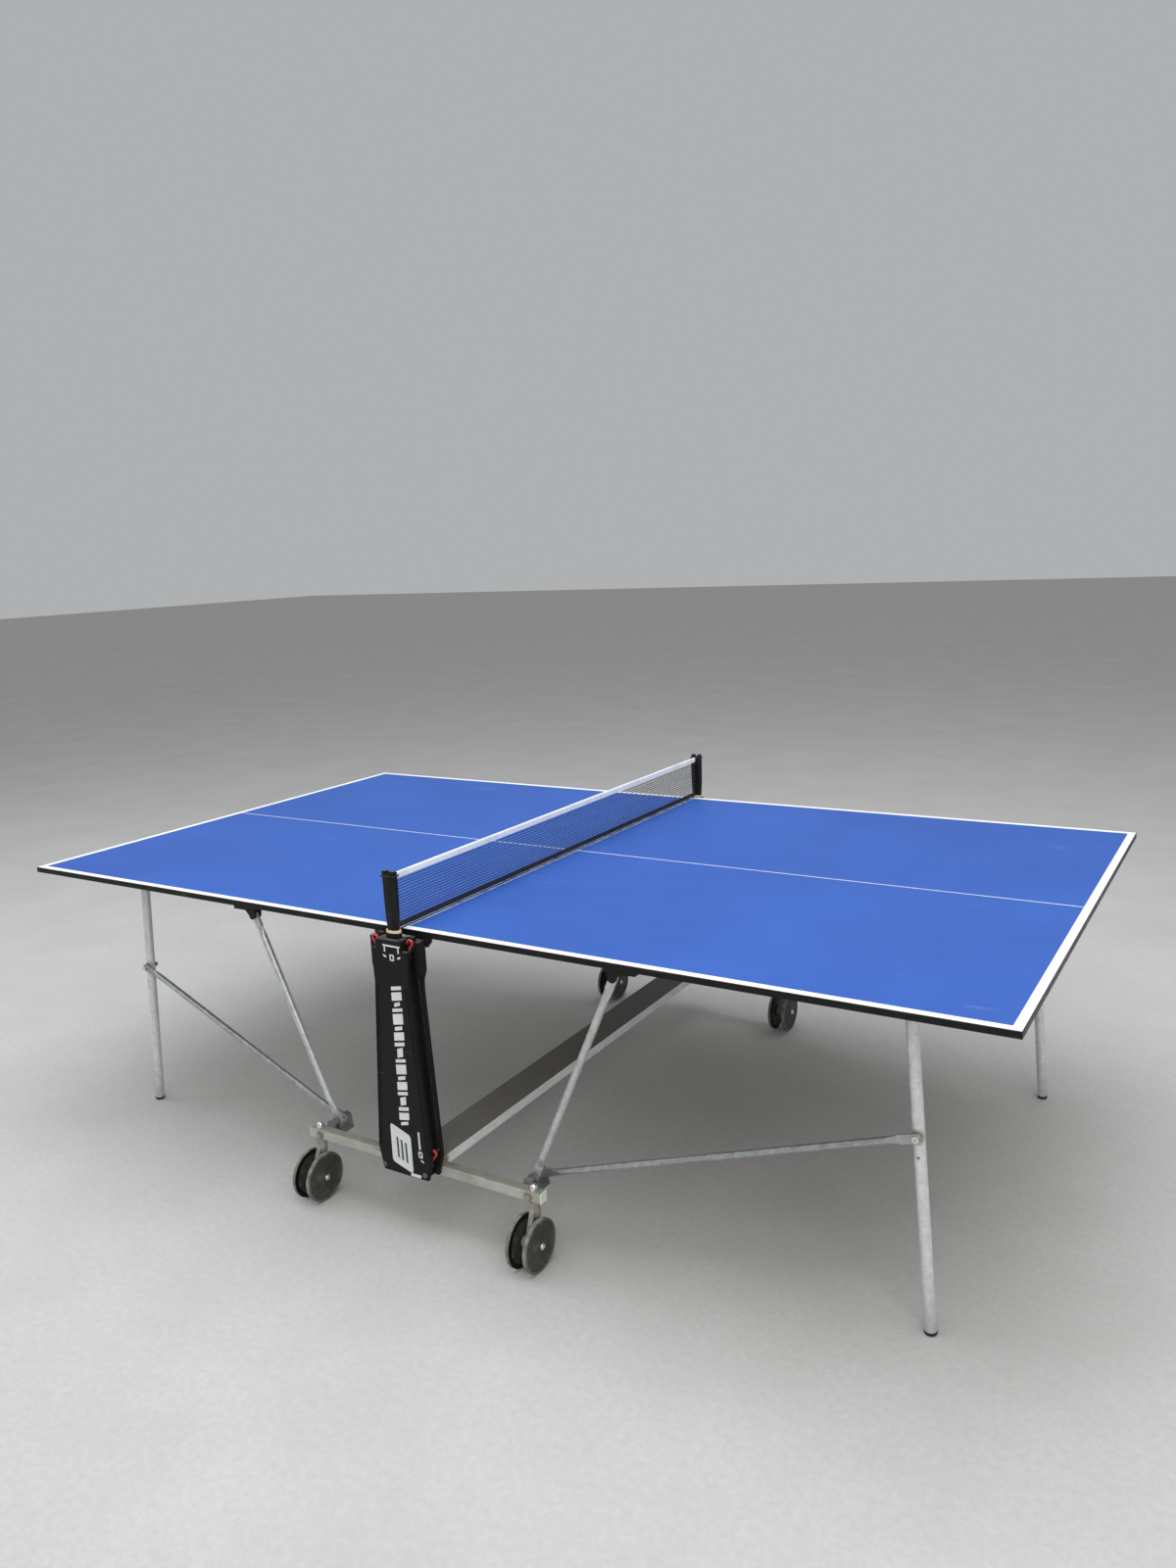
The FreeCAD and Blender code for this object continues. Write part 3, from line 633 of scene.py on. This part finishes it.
def makePiece(name, bm, finishName, body, mirror=(1, 1), angle=35, stands=(), origin=(0, 0, 0)):
    bmesh.ops.transform(bm, matrix=Matrix.Diagonal((*mirror, 1.0, 1.0)), verts=bm.verts)
    bmesh.ops.recalc_face_normals(bm, faces=bm.faces)
    mesh = bpy.data.meshes.new(name)
    bm.to_mesh(mesh)
    bm.free()
    mesh.shade_smooth()
    mesh.set_sharp_from_angle(angle=math.radians(angle))
    mesh.materials.append(materials[finishName])
    piece = bpy.data.objects.new(name, mesh)
    piece.location = origin
    bpy.context.scene.collection.objects.link(piece)
    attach(piece, body)
    if stands:
        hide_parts(*stands)
    return piece


def title(*words):
    return words[0] + "".join(word[0].upper() + word[1:] for word in words[1:])


alongX = Matrix.Rotation(math.radians(90), 4, "Y")
alongY = Matrix.Rotation(math.radians(90), 4, "X")     # local Z points to -Y
facingDown = Matrix.Rotation(math.radians(180), 4, "X")


# Net posts: a tapered oval shaft with two flutes, a toothed clip channel and a forked cap

postShape = {
    "centreY": -0.788, "cheekStart": 0.0022,
    "sections": [(0.7640, 0.0148, 0.0088), (0.7680, 0.0154, 0.0092), (0.7800, 0.0164, 0.0097),
                 (0.8000, 0.0178, 0.0104), (0.8300, 0.0186, 0.0108), (0.8650, 0.0190, 0.0110),
                 (0.8860, 0.0190, 0.0110), (0.8905, 0.0186, 0.0107), (0.8920, 0.0176, 0.0099)],
    "steps": 72, "fluteAngles": (-112.0, -62.0), "fluteWidth": 13.0, "fluteDepth": 0.0016, "squareness": 2.5,
    "channelLow": 0.7760, "channelHigh": 0.8870, "toothPitch": 0.0111, "toothDepth": 0.0042,
    "spigot": [(0.0, 0.722), (0.0078, 0.7225), (0.0078, 0.7655), (0.0, 0.7656)],
    "cheekThick": 0.0016, "prongX": 0.0112, "prongTop": 0.9035,
}


def buildPost(bm):
    s = postShape
    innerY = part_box("near_net_post")[1].y
    centreY = s["centreY"]
    rings = []
    for level, halfX, halfY in s["sections"]:
        ring = []
        for k in range(s["steps"]):
            degrees = 360.0 * k / s["steps"]
            a = math.radians(degrees)
            power = 2.0 / s["squareness"]
            x = halfX * math.copysign(abs(math.cos(a)) ** power, math.cos(a))
            y = halfY * math.copysign(abs(math.sin(a)) ** power, math.sin(a))
            shrink = 1.0
            for flute in s["fluteAngles"]:
                away = abs((degrees - flute + 180.0) % 360.0 - 180.0) / s["fluteWidth"]
                if away < 1.0:
                    shrink -= s["fluteDepth"] / halfY * (0.5 + 0.5 * math.cos(math.pi * away))
            ring.append(bm.verts.new((x * shrink, centreY + y * shrink, level)))
        rings.append(ring)
    for lower, upper in zip(rings, rings[1:]):
        for k in range(s["steps"]):
            n = (k + 1) % s["steps"]
            bm.faces.new((lower[k], lower[n], upper[n], upper[k]))
    bm.faces.new(rings[0])
    bm.faces.new(list(reversed(rings[-1])))
    addLathe(bm, s["spigot"], Matrix.Translation((0, centreY, 0)), 24)
    # Two saw-toothed cheeks with the net's edge between them
    bottom, top, pitch = s["channelLow"], s["channelHigh"], s["toothPitch"]
    back, tip = innerY - 0.0075, innerY + s["toothDepth"] - 0.0015
    outline = [(back, bottom)]
    level = bottom
    while level + pitch <= top + 1e-6:
        outline += [(tip - s["toothDepth"], level), (tip, level + pitch * 0.30), (tip, level + pitch * 0.55),
                    (tip - s["toothDepth"], level + pitch * 0.80)]
        level += pitch
    outline.append((back, level))
    for side in (-1, 1):
        start = side * s["cheekStart"]
        thick = side * s["cheekThick"]
        lower = [bm.verts.new((start, y, z)) for y, z in outline]
        upper = [bm.verts.new((start + thick, y, z)) for y, z in outline]
        bm.faces.new(lower)
        bm.faces.new(list(reversed(upper)))
        for k in range(len(outline)):
            n = (k + 1) % len(outline)
            bm.faces.new((lower[k], upper[k], upper[n], lower[n]))
    addBlock(bm, (-0.0050, back - 0.0035, bottom - 0.002), (0.0050, back + 0.0008, level + 0.002), 0.0008)
    # Forked cap: a thin deck with two prongs and a low bridge behind them
    addBlock(bm, (-0.0196, centreY - 0.0112, 0.8895), (0.0196, centreY + 0.0105, 0.8930), 0.0009)
    for side in (-1, 1):
        x = side * s["prongX"]
        addBlock(bm, (x - 0.0058, centreY - 0.0078, 0.8920),
                 (x + 0.0058, centreY + 0.0040, s["prongTop"]), 0.0013)
        addBlock(bm, (x - 0.0040, centreY + 0.0030, 0.8920),
                 (x + 0.0040, centreY + 0.0085, s["prongTop"] - 0.004), 0.0010)
    addBlock(bm, (-0.0065, centreY - 0.0072, 0.8920), (0.0065, centreY - 0.0040, 0.8972), 0.0008)


for flank, sign in flanks.items():
    bm = bmesh.new()
    buildPost(bm)
    makePiece(title(flank, "netPost"), bm, "postMoulding", "frame", (1, sign), 32,
              [flank + "_net_post"])
print("net posts built")


# Net: knotted strands between a folded white tape and a dark band

netShape = {
    "rows": 14, "columnPitch": 0.0095, "rowRadius": 0.00096, "columnRadius": 0.00027, "weave": 0.00035,
    "rowSegments": 96, "slack": 0.00030, "tapeThick": 0.0007, "tapeWaves": 0.00050,
    "stitchPitch": 0.0052, "stitchLength": 0.0032, "stitchRadius": 0.00035,
}
tapeLow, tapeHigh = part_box("net_tape")
meshLow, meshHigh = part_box("net_mesh")
bandLow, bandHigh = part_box("net_band")


def slackAt(y, row):
    # Slow, small drift of the net's rows, so that they aren't ruler straight
    slow = math.sin(7.1 * y + 1.3 * row) + 0.6 * math.sin(17.3 * y + 2.9 * row)
    return netShape["slack"] * (slow + 0.4 * math.sin(41.0 * y + 0.7 * row))


def buildStrands(bm):
    s = netShape
    gap = (meshHigh.z - meshLow.z) / (s["rows"] + 1)
    levels = [meshLow.z + gap * (k + 1) for k in range(s["rows"])]
    for row, level in enumerate(levels):
        points = []
        for k in range(s["rowSegments"] + 1):
            y = meshLow.y + (meshHigh.y - meshLow.y) * k / s["rowSegments"]
            points.append(Vector((0.25 * slackAt(y + 3.0, row), y, level + slackAt(y, row))))
        sizes = [(s["rowRadius"], s["rowRadius"])] * len(points)
        addSweep(bm, points, sizes, (1, 0, 0), 6)
    count = int((meshHigh.y - meshLow.y) / s["columnPitch"])
    start = (meshLow.y + meshHigh.y - count * s["columnPitch"]) / 2
    for column in range(count + 1):
        y = start + column * s["columnPitch"]
        points = [Vector((0, y, meshLow.z - 0.002))]
        for row, level in enumerate(levels):
            way = s["weave"] if (row + column) % 2 else -s["weave"]
            points.append(Vector((way, y + 0.6 * slackAt(level * 9.0, column), level + slackAt(y, row))))
        points.append(Vector((0, y, meshHigh.z + 0.002)))
        sizes = [(s["columnRadius"], s["columnRadius"])] * len(points)
        addSweep(bm, points, sizes, (1, 0, 0), 4)


def swayAt(y, waves):
    return waves * (math.sin(9.0 * y + 0.4) + 0.5 * math.sin(27.0 * y) + 0.3 * math.sin(61.0 * y + 1.0))


def foldProfile(halfWidth, openEnd, foldEnd, thick, steps=6):
    # The closed cross section of a strip folded over at foldEnd, as (x, z)
    way = 1 if foldEnd > openEnd else -1
    outer, inner = [], []
    for radius, path in ((halfWidth, outer), (halfWidth - thick, inner)):
        bendLevel = foldEnd - way * halfWidth
        path.append((-radius, openEnd))
        path.append((-radius, (openEnd + bendLevel) / 2))
        for step in range(steps + 1):
            a = math.pi * (1 - step / steps)
            path.append((radius * math.cos(a), bendLevel + way * radius * math.sin(a)))
        path.append((radius, (openEnd + bendLevel) / 2))
        path.append((radius, openEnd))
    return outer + inner[::-1]


def buildFoldedStrip(bm, profile, low, high, waves, segments=110):
    rings = []
    for k in range(segments + 1):
        y = low + (high - low) * k / segments
        sway = swayAt(y, waves)
        ends = min(1.0, 12.0 * min(y - low, high - y))
        rings.append([bm.verts.new((x + 0.6 * sway * ends, y, z + 0.5 * sway * ends)) for x, z in profile])
    for lower, upper in zip(rings, rings[1:]):
        for k in range(len(profile)):
            n = (k + 1) % len(profile)
            bm.faces.new((lower[k], lower[n], upper[n], upper[k]))
    for ring, turned in ((rings[0], False), (rings[-1], True)):
        half = len(ring) // 2
        for k in range(half - 1):    # the strip's end is a row of quads between its outer and inner line
            corners = [ring[k], ring[k + 1], ring[-2 - k], ring[-1 - k]]
            bm.faces.new(corners[::-1] if turned else corners)


def buildStitches(bm, level, halfWidth, low, high):
    s = netShape
    count = int((high - low) / s["stitchPitch"])
    for side in (-1, 1):
        for k in range(count):
            y = low + (k + 0.5) * s["stitchPitch"]
            sway = swayAt(y, s["tapeWaves"])
            x = side * (halfWidth + 0.00005) + 0.6 * sway
            half = s["stitchLength"] / 2
            points = [(x, y + half * t, level + 0.5 * sway + 0.0002 * t) for t in (-1, -0.6, 0.6, 1)]
            thin, full = s["stitchRadius"] * 0.4, s["stitchRadius"]
            addSweep(bm, points, [(thin, thin), (full, full), (full, full), (thin, thin)], (1, 0, 0), 5)


bm = bmesh.new()
buildStrands(bm)
netStrands = makePiece("netStrands", bm, "netThread", "frame", angle=60, stands=["net_mesh"])
bm = bmesh.new()
tapeHalf = (tapeHigh.x - tapeLow.x) / 2
tapeFold = foldProfile(tapeHalf, tapeLow.z, tapeHigh.z, netShape["tapeThick"])
buildFoldedStrip(bm, tapeFold, tapeLow.y, tapeHigh.y, netShape["tapeWaves"])
netTape = makePiece("netTopTape", bm, "tapeCloth", "frame", angle=50, stands=["net_tape"])
bm = bmesh.new()
buildStitches(bm, tapeLow.z + 0.0022, tapeHalf, tapeLow.y + 0.004, tapeHigh.y - 0.004)
tapeStitches = makePiece("netTapeStitches", bm, "tapeCloth", "frame", angle=60)
bm = bmesh.new()
bandHalf = (bandHigh.x - bandLow.x) / 2
bandFold = foldProfile(bandHalf, bandHigh.z, bandLow.z, netShape["tapeThick"])
buildFoldedStrip(bm, bandFold, bandLow.y, bandHigh.y, netShape["tapeWaves"] * 0.6)
netBand = makePiece("netBottomBand", bm, "bandCloth", "frame", angle=50, stands=["net_band"])

print("net built")


# Wheels: two moulded discs on one axle

wheelShape = {
    # (radius, distance from the inner face) round one disc's section
    "section": [(0.0053, 0.0006), (0.0150, 0.0006), (0.0158, 0.0012), (0.0162, 0.0030), (0.0500, 0.0030),
                (0.0508, 0.0012), (0.0516, 0.0002), (0.0592, 0.0000), (0.0611, 0.0004), (0.0621, 0.0013),
                (0.0625, 0.0029), (0.0625, 0.0055), (0.0624, 0.0058), (0.0625, 0.0061), (0.0625, 0.0088),
                (0.0621, 0.0103), (0.0612, 0.0111), (0.0595, 0.0115), (0.0566, 0.0115), (0.0559, 0.0112),
                (0.0556, 0.0103), (0.0551, 0.0099), (0.0436, 0.0098), (0.0429, 0.0095), (0.0422, 0.0098),
                (0.0170, 0.0098), (0.0158, 0.0100), (0.0152, 0.0106), (0.0144, 0.0110), (0.0105, 0.0111),
                (0.0098, 0.0108), (0.0094, 0.0103), (0.0053, 0.0102)],
    "thick": 0.0115, "steps": 96, "capRadius": 0.0072, "capHeight": 0.0046, "capLip": 0.0008,
}

for flank in flanks:
    for half in halves:
        corner = flank + "_" + half
        low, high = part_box(corner + "_wheels")
        centre = (low + high) / 2
        halfSpan = (high.x - low.x) / 2
        bm = bmesh.new()
        for side in (-1, 1):
            inner = halfSpan - wheelShape["thick"]
            place = Matrix.Diagonal((side, 1, 1, 1)) @ Matrix.Translation((inner, 0, 0)) @ alongX
            addLathe(bm, wheelShape["section"], place, wheelShape["steps"], closed=True)
        makePiece(title(flank, half, "wheelPair"), bm, "wheelPlastic", corner + "_roller", angle=28,
                  stands=[corner + "_wheels"], origin=centre)
        bm = bmesh.new()
        axleLow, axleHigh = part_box(corner + "_axle")
        radius, height, lip = (wheelShape[key] for key in ("capRadius", "capHeight", "capLip"))
        dome = [(radius, 0.0), (radius, lip)]
        dome += [(radius * math.cos(a), lip + (height - lip) * math.sin(a))
                 for a in (0.3, 0.6, 0.9, 1.2, 1.4)]
        dome += [(0.0, height)]
        for side, edge in ((-1, axleLow.x), (1, axleHigh.x)):
            place = Matrix.Translation((edge, centre.y, centre.z)) @ Matrix.Diagonal((side, 1, 1, 1)) @ alongX
            addLathe(bm, [(0.0, -0.0006), (radius, -0.0006)] + dome, place, 28)
        makePiece(title(flank, half, "axleCaps"), bm, "brightBolt", corner + "_caster", angle=40)
print("wheels built")


# Latches: red hooks bent from one round moulding

hookShape = {
    "upperPivot": (0.046, 0.707), "upperLean": 0.005, "lowerPivot": (0.066, 0.196), "lowerLean": 0.011,
    "midY": -0.7955, "eyeRise": 0.033, "eyeRadius": 0.0071, "across": 0.0030, "deep": 0.0038,
}


def buildHook(bm, pivot, lean):
    s = hookShape
    x, z = pivot
    eyeX, eyeZ = x + lean, z + s["eyeRise"]
    path = [(x + lean * t, s["midY"], z + 0.024 * t) for t in (0.0, 0.2, 0.45, 0.7, 0.9)]
    for degrees in range(-62, 214, 16):
        a = math.radians(degrees)
        path.append((eyeX + s["eyeRadius"] * math.cos(a), s["midY"], eyeZ + s["eyeRadius"] * math.sin(a)))
    sizes = []
    for k in range(len(path)):
        taper = min(1.0, 0.45 + 0.28 * (len(path) - 1 - k))
        swell = 1.15 if k < 3 else 1.0
        sizes.append((s["across"] * taper * swell, s["deep"] * taper))
    addSweep(bm, path, sizes, (0, 1, 0), 16)
    half = 0.0040
    boss = [(0.0031, -half), (0.0052, -half), (0.0060, -half + 0.0008), (0.0060, half - 0.0008),
            (0.0052, half), (0.0031, half)]
    addLathe(bm, boss, Matrix.Translation((x, s["midY"], z)) @ alongY, 28, closed=True)


for flank, signY in flanks.items():
    for half, signX in halves.items():
        for level in ("upper", "lower"):
            bm = bmesh.new()
            buildHook(bm, hookShape[level + "Pivot"], hookShape[level + "Lean"])
            nodeName = "_".join((flank, half, level, "latch"))
            makePiece(title(flank, half, level, "hook"), bm, "hookRed", nodeName + "_body",
                      (signX, signY), 40, [nodeName])
print("hooks built")


# Towers: plain printed shapes and small moulded details on the front plate

printShape = {
    "faceY": -0.8120, "thick": 0.00035, "rounding": 0.0012,
    "columnX": 0.009, "columnTop": 0.640, "columnBottom": 0.296, "barSlant": 0.012,
    # width and height of each bar from the top down, in millimetres
    "bars": [(30, 9), (30, 20), (17, 9), (30, 8), (30, 26), (22, 9), (30, 20), (30, 9), (17, 22),
             (30, 8), (30, 24), (22, 9), (30, 20), (30, 8), (17, 20), (30, 9), (30, 18), (22, 8)],
    "plate": [(-0.036, 0.290), (0.024, 0.268), (0.025, 0.172), (-0.036, 0.192)],
}


def addPrint(bm, outline, radius=None, lift=1.0):
    s = printShape
    radius = s["rounding"] if radius is None else radius
    addPrism(bm, roundCorners(outline, radius), s["faceY"] - s["thick"] * lift, s["faceY"] + 0.0002)


def buildPrint(bm):
    s = printShape
    total = sum(height for width, height in s["bars"])
    gap = ((s["columnTop"] - s["columnBottom"]) * 1000 - total) / (len(s["bars"]) - 1)
    level = s["columnTop"]
    for width, height in s["bars"]:
        w, h = width / 2000, height / 1000
        lean = s["barSlant"] * 0.5
        x = s["columnX"] + (level - s["columnBottom"]) * 0.016
        addPrint(bm, [(x - w, level - lean), (x + w, level), (x + w, level - h), (x - w, level - h - lean)])
        level -= h + gap / 1000
    addPrint(bm, s["plate"], 0.009)
    # A small mark at the top: a bar on two short legs over a rounded square
    addPrint(bm, [(-0.016, 0.7345), (0.034, 0.7345), (0.034, 0.7305), (-0.016, 0.7305)], 0.0006)
    for x in (-0.011, 0.029):
        left, right = x - 0.0018, x + 0.0018
        addPrint(bm, [(left, 0.7297), (right, 0.7297), (right, 0.7170), (left, 0.7170)], 0.0005)
    for x, way in ((-0.007, -1), (0.025, 1)):
        addPrint(bm, [(x, 0.7075), (x + 0.010 * way, 0.7110), (x + 0.008 * way, 0.7050), (x, 0.7035)], 0.0010)
    addPrint(bm, [(0.0025, 0.7125), (0.0155, 0.7125), (0.0155, 0.6975), (0.0025, 0.6975)], 0.0024)
    # A thin bar with a square and a tick beside the lower latch
    addPrint(bm, [(0.0465, 0.284), (0.0515, 0.284), (0.0525, 0.240), (0.0475, 0.240)], 0.0010)
    addPrint(bm, [(0.0440, 0.2350), (0.0560, 0.2350), (0.0570, 0.2190), (0.0450, 0.2190)], 0.0030)
    addPrint(bm, [(0.0490, 0.2150), (0.0570, 0.2125), (0.0600, 0.2075), (0.0520, 0.2100)], 0.0010)
    addPrint(bm, [(0.0180, 0.1735), (0.0480, 0.1735), (0.0470, 0.1655), (0.0170, 0.1655)], 0.0008)


def buildInlay(bm):
    # Dark strokes on the plate and in the small squares
    for k in range(3):
        x, drop = -0.020 + 0.0125 * k, 0.0045 * k
        stroke = [(x, 0.258 - drop), (x + 0.0055, 0.256 - drop), (x + 0.0065, 0.204 - drop),
                  (x + 0.0010, 0.206 - drop)]
        addPrint(bm, stroke, 0.0024, 1.7)
    addPrint(bm, [(0.0058, 0.7095), (0.0122, 0.7095), (0.0122, 0.7005), (0.0058, 0.7005)], 0.0016, 1.7)
    addPrint(bm, [(0.0475, 0.2315), (0.0530, 0.2315), (0.0535, 0.2225), (0.0480, 0.2225)], 0.0016, 1.7)


towerTrim = {"buttonPlace": (-0.026, 0.658), "buttonRadius": 0.0036}


def buildTrim(bm):
    # A blind plug in the face, a lip along the top edge, and gussets under the upper corners
    s = towerTrim
    x, z = s["buttonPlace"]
    r = s["buttonRadius"]
    ring = [(0.0, 0.0), (r * 0.55, 0.0), (r * 0.68, 0.0007), (r * 0.92, 0.0007), (r, 0.0002), (r, -0.0006),
            (0.0, -0.0006)]
    addLathe(bm, ring, Matrix.Translation((x, -0.8120, z)) @ alongY, 24)
    addBlock(bm, (-0.0360, -0.8124, 0.7428), (0.0360, -0.8098, 0.7456), 0.0006)
    for side in (-1, 1):
        middle = side * 0.0290
        addBlock(bm, (middle - 0.0062, -0.8065, 0.7444), (middle + 0.0062, -0.7800, 0.7462), 0.0007)


for flank, signY in flanks.items():
    turned = (signY, signY)     # the far tower faces the other way, so its print turns with it
    for words, build, finishName, angle in (("towerPrint", buildPrint, "printWhite", 30),
                                            ("towerInlay", buildInlay, "printGrey", 30),
                                            ("towerTrim", buildTrim, "towerMoulding", 35)):
        bm = bmesh.new()
        build(bm)
        makePiece(title(flank, words), bm, finishName, "frame", turned, angle)
print("tower details built")


# Pan-head screws under the boards

screwShape = {"radius": 0.0042, "height": 0.0024, "slotHalf": 0.0022, "slotWide": 0.0005}
screwPlaces = {     # node ending, depth of the screws' seat below the board, and (x, |y|) of each
    "hingeScrews": ("_hinge_blocks", 0.022, [(0.566, 0.720), (0.566, 0.704), (0.587, 0.712)]),
    "legBracketScrews": ("_leg_brackets", 0.003,
                         [(1.102, 0.434), (1.102, 0.406), (1.152, 0.434), (1.152, 0.406)]),
    "guideBracketScrews": ("_guide_brackets", 0.003, [(0.040, 0.744), (0.040, 0.712), (0.076, 0.712)]),
}


def buildScrew(bm, x, y, z):
    s = screwShape
    r, h = s["radius"], s["height"]
    dome = [(0.0, -0.0006), (r, -0.0006), (r, h * 0.25), (r * 0.90, h * 0.62), (r * 0.68, h * 0.90),
            (s["slotHalf"], h), (s["slotHalf"] * 0.9, h * 0.55), (0.0, h * 0.50)]
    place = Matrix.Translation((x, y, z)) @ facingDown
    addLathe(bm, dome, place, 20)
    for wide, deep in ((s["slotHalf"], s["slotWide"]), (s["slotWide"], s["slotHalf"])):
        addBlock(bm, (x - wide, y - deep, z - h * 0.72), (x + wide, y + deep, z - h * 0.45), 0.0001)


for half, signX in halves.items():
    for pieceName, (ending, depth, places) in screwPlaces.items():
        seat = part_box(half + ending)[1].z - depth
        bm = bmesh.new()
        for x, y in places:
            for side in (-1, 1):
                buildScrew(bm, x, side * y, seat)
        makePiece(title(half, pieceName), bm, "brightBolt", half + "_top", (signX, 1), 40)
print("screws built")


# Feet: rubber plugs pushed into the leg tubes, with a short collar outside

footShape = {"radius": 0.0132, "collar": 0.0085, "footX": 1.178, "across": 0.585, "lean": 0.0702}


def buildFoot(bm, side):
    s = footShape
    r, top = s["radius"], s["collar"]
    section = [(0.0, 0.0030), (0.0040, 0.0026), (0.0050, 0.0012), (r * 0.86, 0.0010), (r * 0.97, 0.0018),
               (r, 0.0034), (r, top - 0.0016), (r * 0.985, top - 0.0006), (r * 0.96, top),
               (r * 0.90, top + 0.0002), (0.0, top + 0.0002)]
    place = Matrix.Translation((s["footX"], side * s["across"], 0.0)) @ Matrix.Rotation(-s["lean"], 4, "Y")
    addLathe(bm, section, place, 36)
    for k in range(12):     # short moulded ribs round the collar
        turn = Matrix.Rotation(2 * math.pi * k / 12, 4, "Z")
        addBlock(bm, (r - 0.0006, -0.0007, 0.0036), (r + 0.0005, 0.0007, top - 0.0020), 0.0002, place @ turn)


for half, signX in halves.items():
    bm = bmesh.new()
    for side in (-1, 1):
        buildFoot(bm, side)
    makePiece(title(half, "footPlugs"), bm, "footRubber", half + "_legs", (signX, 1), 35,
              [half + "_foot_caps"])
print("feet built")


# Stage: floor, light and camera

def makeFloor():
    finish = Finish("floorCard", roughness=0.85, specular=0.2)
    tree = finish.tree
    grain = finish.grain(60.0)
    tone = mixColour(tree, grain["Cloud"], (0.54, 0.535, 0.52, 1), (0.59, 0.585, 0.57, 1))
    speckle = times(tree, fade(tree, grain["Height"], 0.40, 0.62), 0.35)
    tone = mixColour(tree, speckle, tone, (0.43, 0.425, 0.41, 1))
    finish.set("Base Color", tone)
    finish.bump(grain["Height"], 0.001, 0.3)
    bm = bmesh.new()
    bmesh.ops.create_grid(bm, x_segments=2, y_segments=2, size=40.0)
    mesh = bpy.data.meshes.new("floor")
    bm.to_mesh(mesh)
    bm.free()
    mesh.materials.append(finish.material)
    floor = bpy.data.objects.new("floor", mesh)
    bpy.context.scene.collection.objects.link(floor)


studio = {
    "world": (0.90, 0.92, 0.94, 1), "worldStrength": 0.47,
    "lights": {
        "skyPanel": {"place": (0.5, -0.6, 5.2), "aim": (0.0, 0.0, 0.6), "size": 6.0, "power": 265.0,
                     "colour": (0.96, 0.98, 1.0)},
        "frontPanel": {"place": (3.6, -4.6, 3.2), "aim": (0.2, -0.3, 0.5), "size": 3.5, "power": 95.0,
                       "colour": (1.0, 0.99, 0.97)},
        "sidePanel": {"place": (-5.0, -2.2, 3.0), "aim": (0.0, 0.0, 0.5), "size": 3.5, "power": 60.0,
                      "colour": (0.95, 0.97, 1.0)},
    },
}


def aimAt(thing, place, target):
    thing.location = place
    thing.rotation_euler = (Vector(target) - Vector(place)).to_track_quat("-Z", "Y").to_euler()


def makeStudio():
    scene = bpy.context.scene
    world = bpy.data.worlds.new("studioWorld")
    world.use_nodes = True
    background = world.node_tree.nodes["Background"]
    background.inputs["Color"].default_value = studio["world"]
    background.inputs["Strength"].default_value = studio["worldStrength"]
    scene.world = world
    for lightName, row in studio["lights"].items():
        light = bpy.data.lights.new(lightName, "AREA")
        light.size = row["size"]
        light.energy = row["power"]
        light.color = row["colour"]
        lamp = bpy.data.objects.new(lightName, light)
        scene.collection.objects.link(lamp)
        aimAt(lamp, row["place"], row["aim"])


cameraView = {"lens": 26.94, "sensor": 36.0, "place": (1.7383, -2.7343, 1.5934), "yaw": -31.67,
              "pitch": 11.23, "roll": -2.43}


def makeCamera():
    s = cameraView
    yaw, pitch, roll = (math.radians(s[key]) for key in ("yaw", "pitch", "roll"))
    forward = Vector((math.sin(yaw) * math.cos(pitch), math.cos(yaw) * math.cos(pitch), -math.sin(pitch)))
    level = Vector((math.cos(yaw), -math.sin(yaw), 0.0))
    up = level.cross(forward)
    right = level * math.cos(roll) + up * math.sin(roll)
    up = up * math.cos(roll) - level * math.sin(roll)
    data = bpy.data.cameras.new("camera")
    data.lens, data.sensor_width = s["lens"], s["sensor"]
    data.clip_end = 200.0
    camera = bpy.data.objects.new("camera", data)
    turn = Matrix((right, up, -forward)).transposed().to_4x4()
    camera.matrix_world = Matrix.Translation(s["place"]) @ turn
    bpy.context.scene.collection.objects.link(camera)
    bpy.context.scene.camera = camera


makeFloor()
makeStudio()
makeCamera()
bpy.context.scene.view_settings.view_transform = "Standard"
print("stage built")
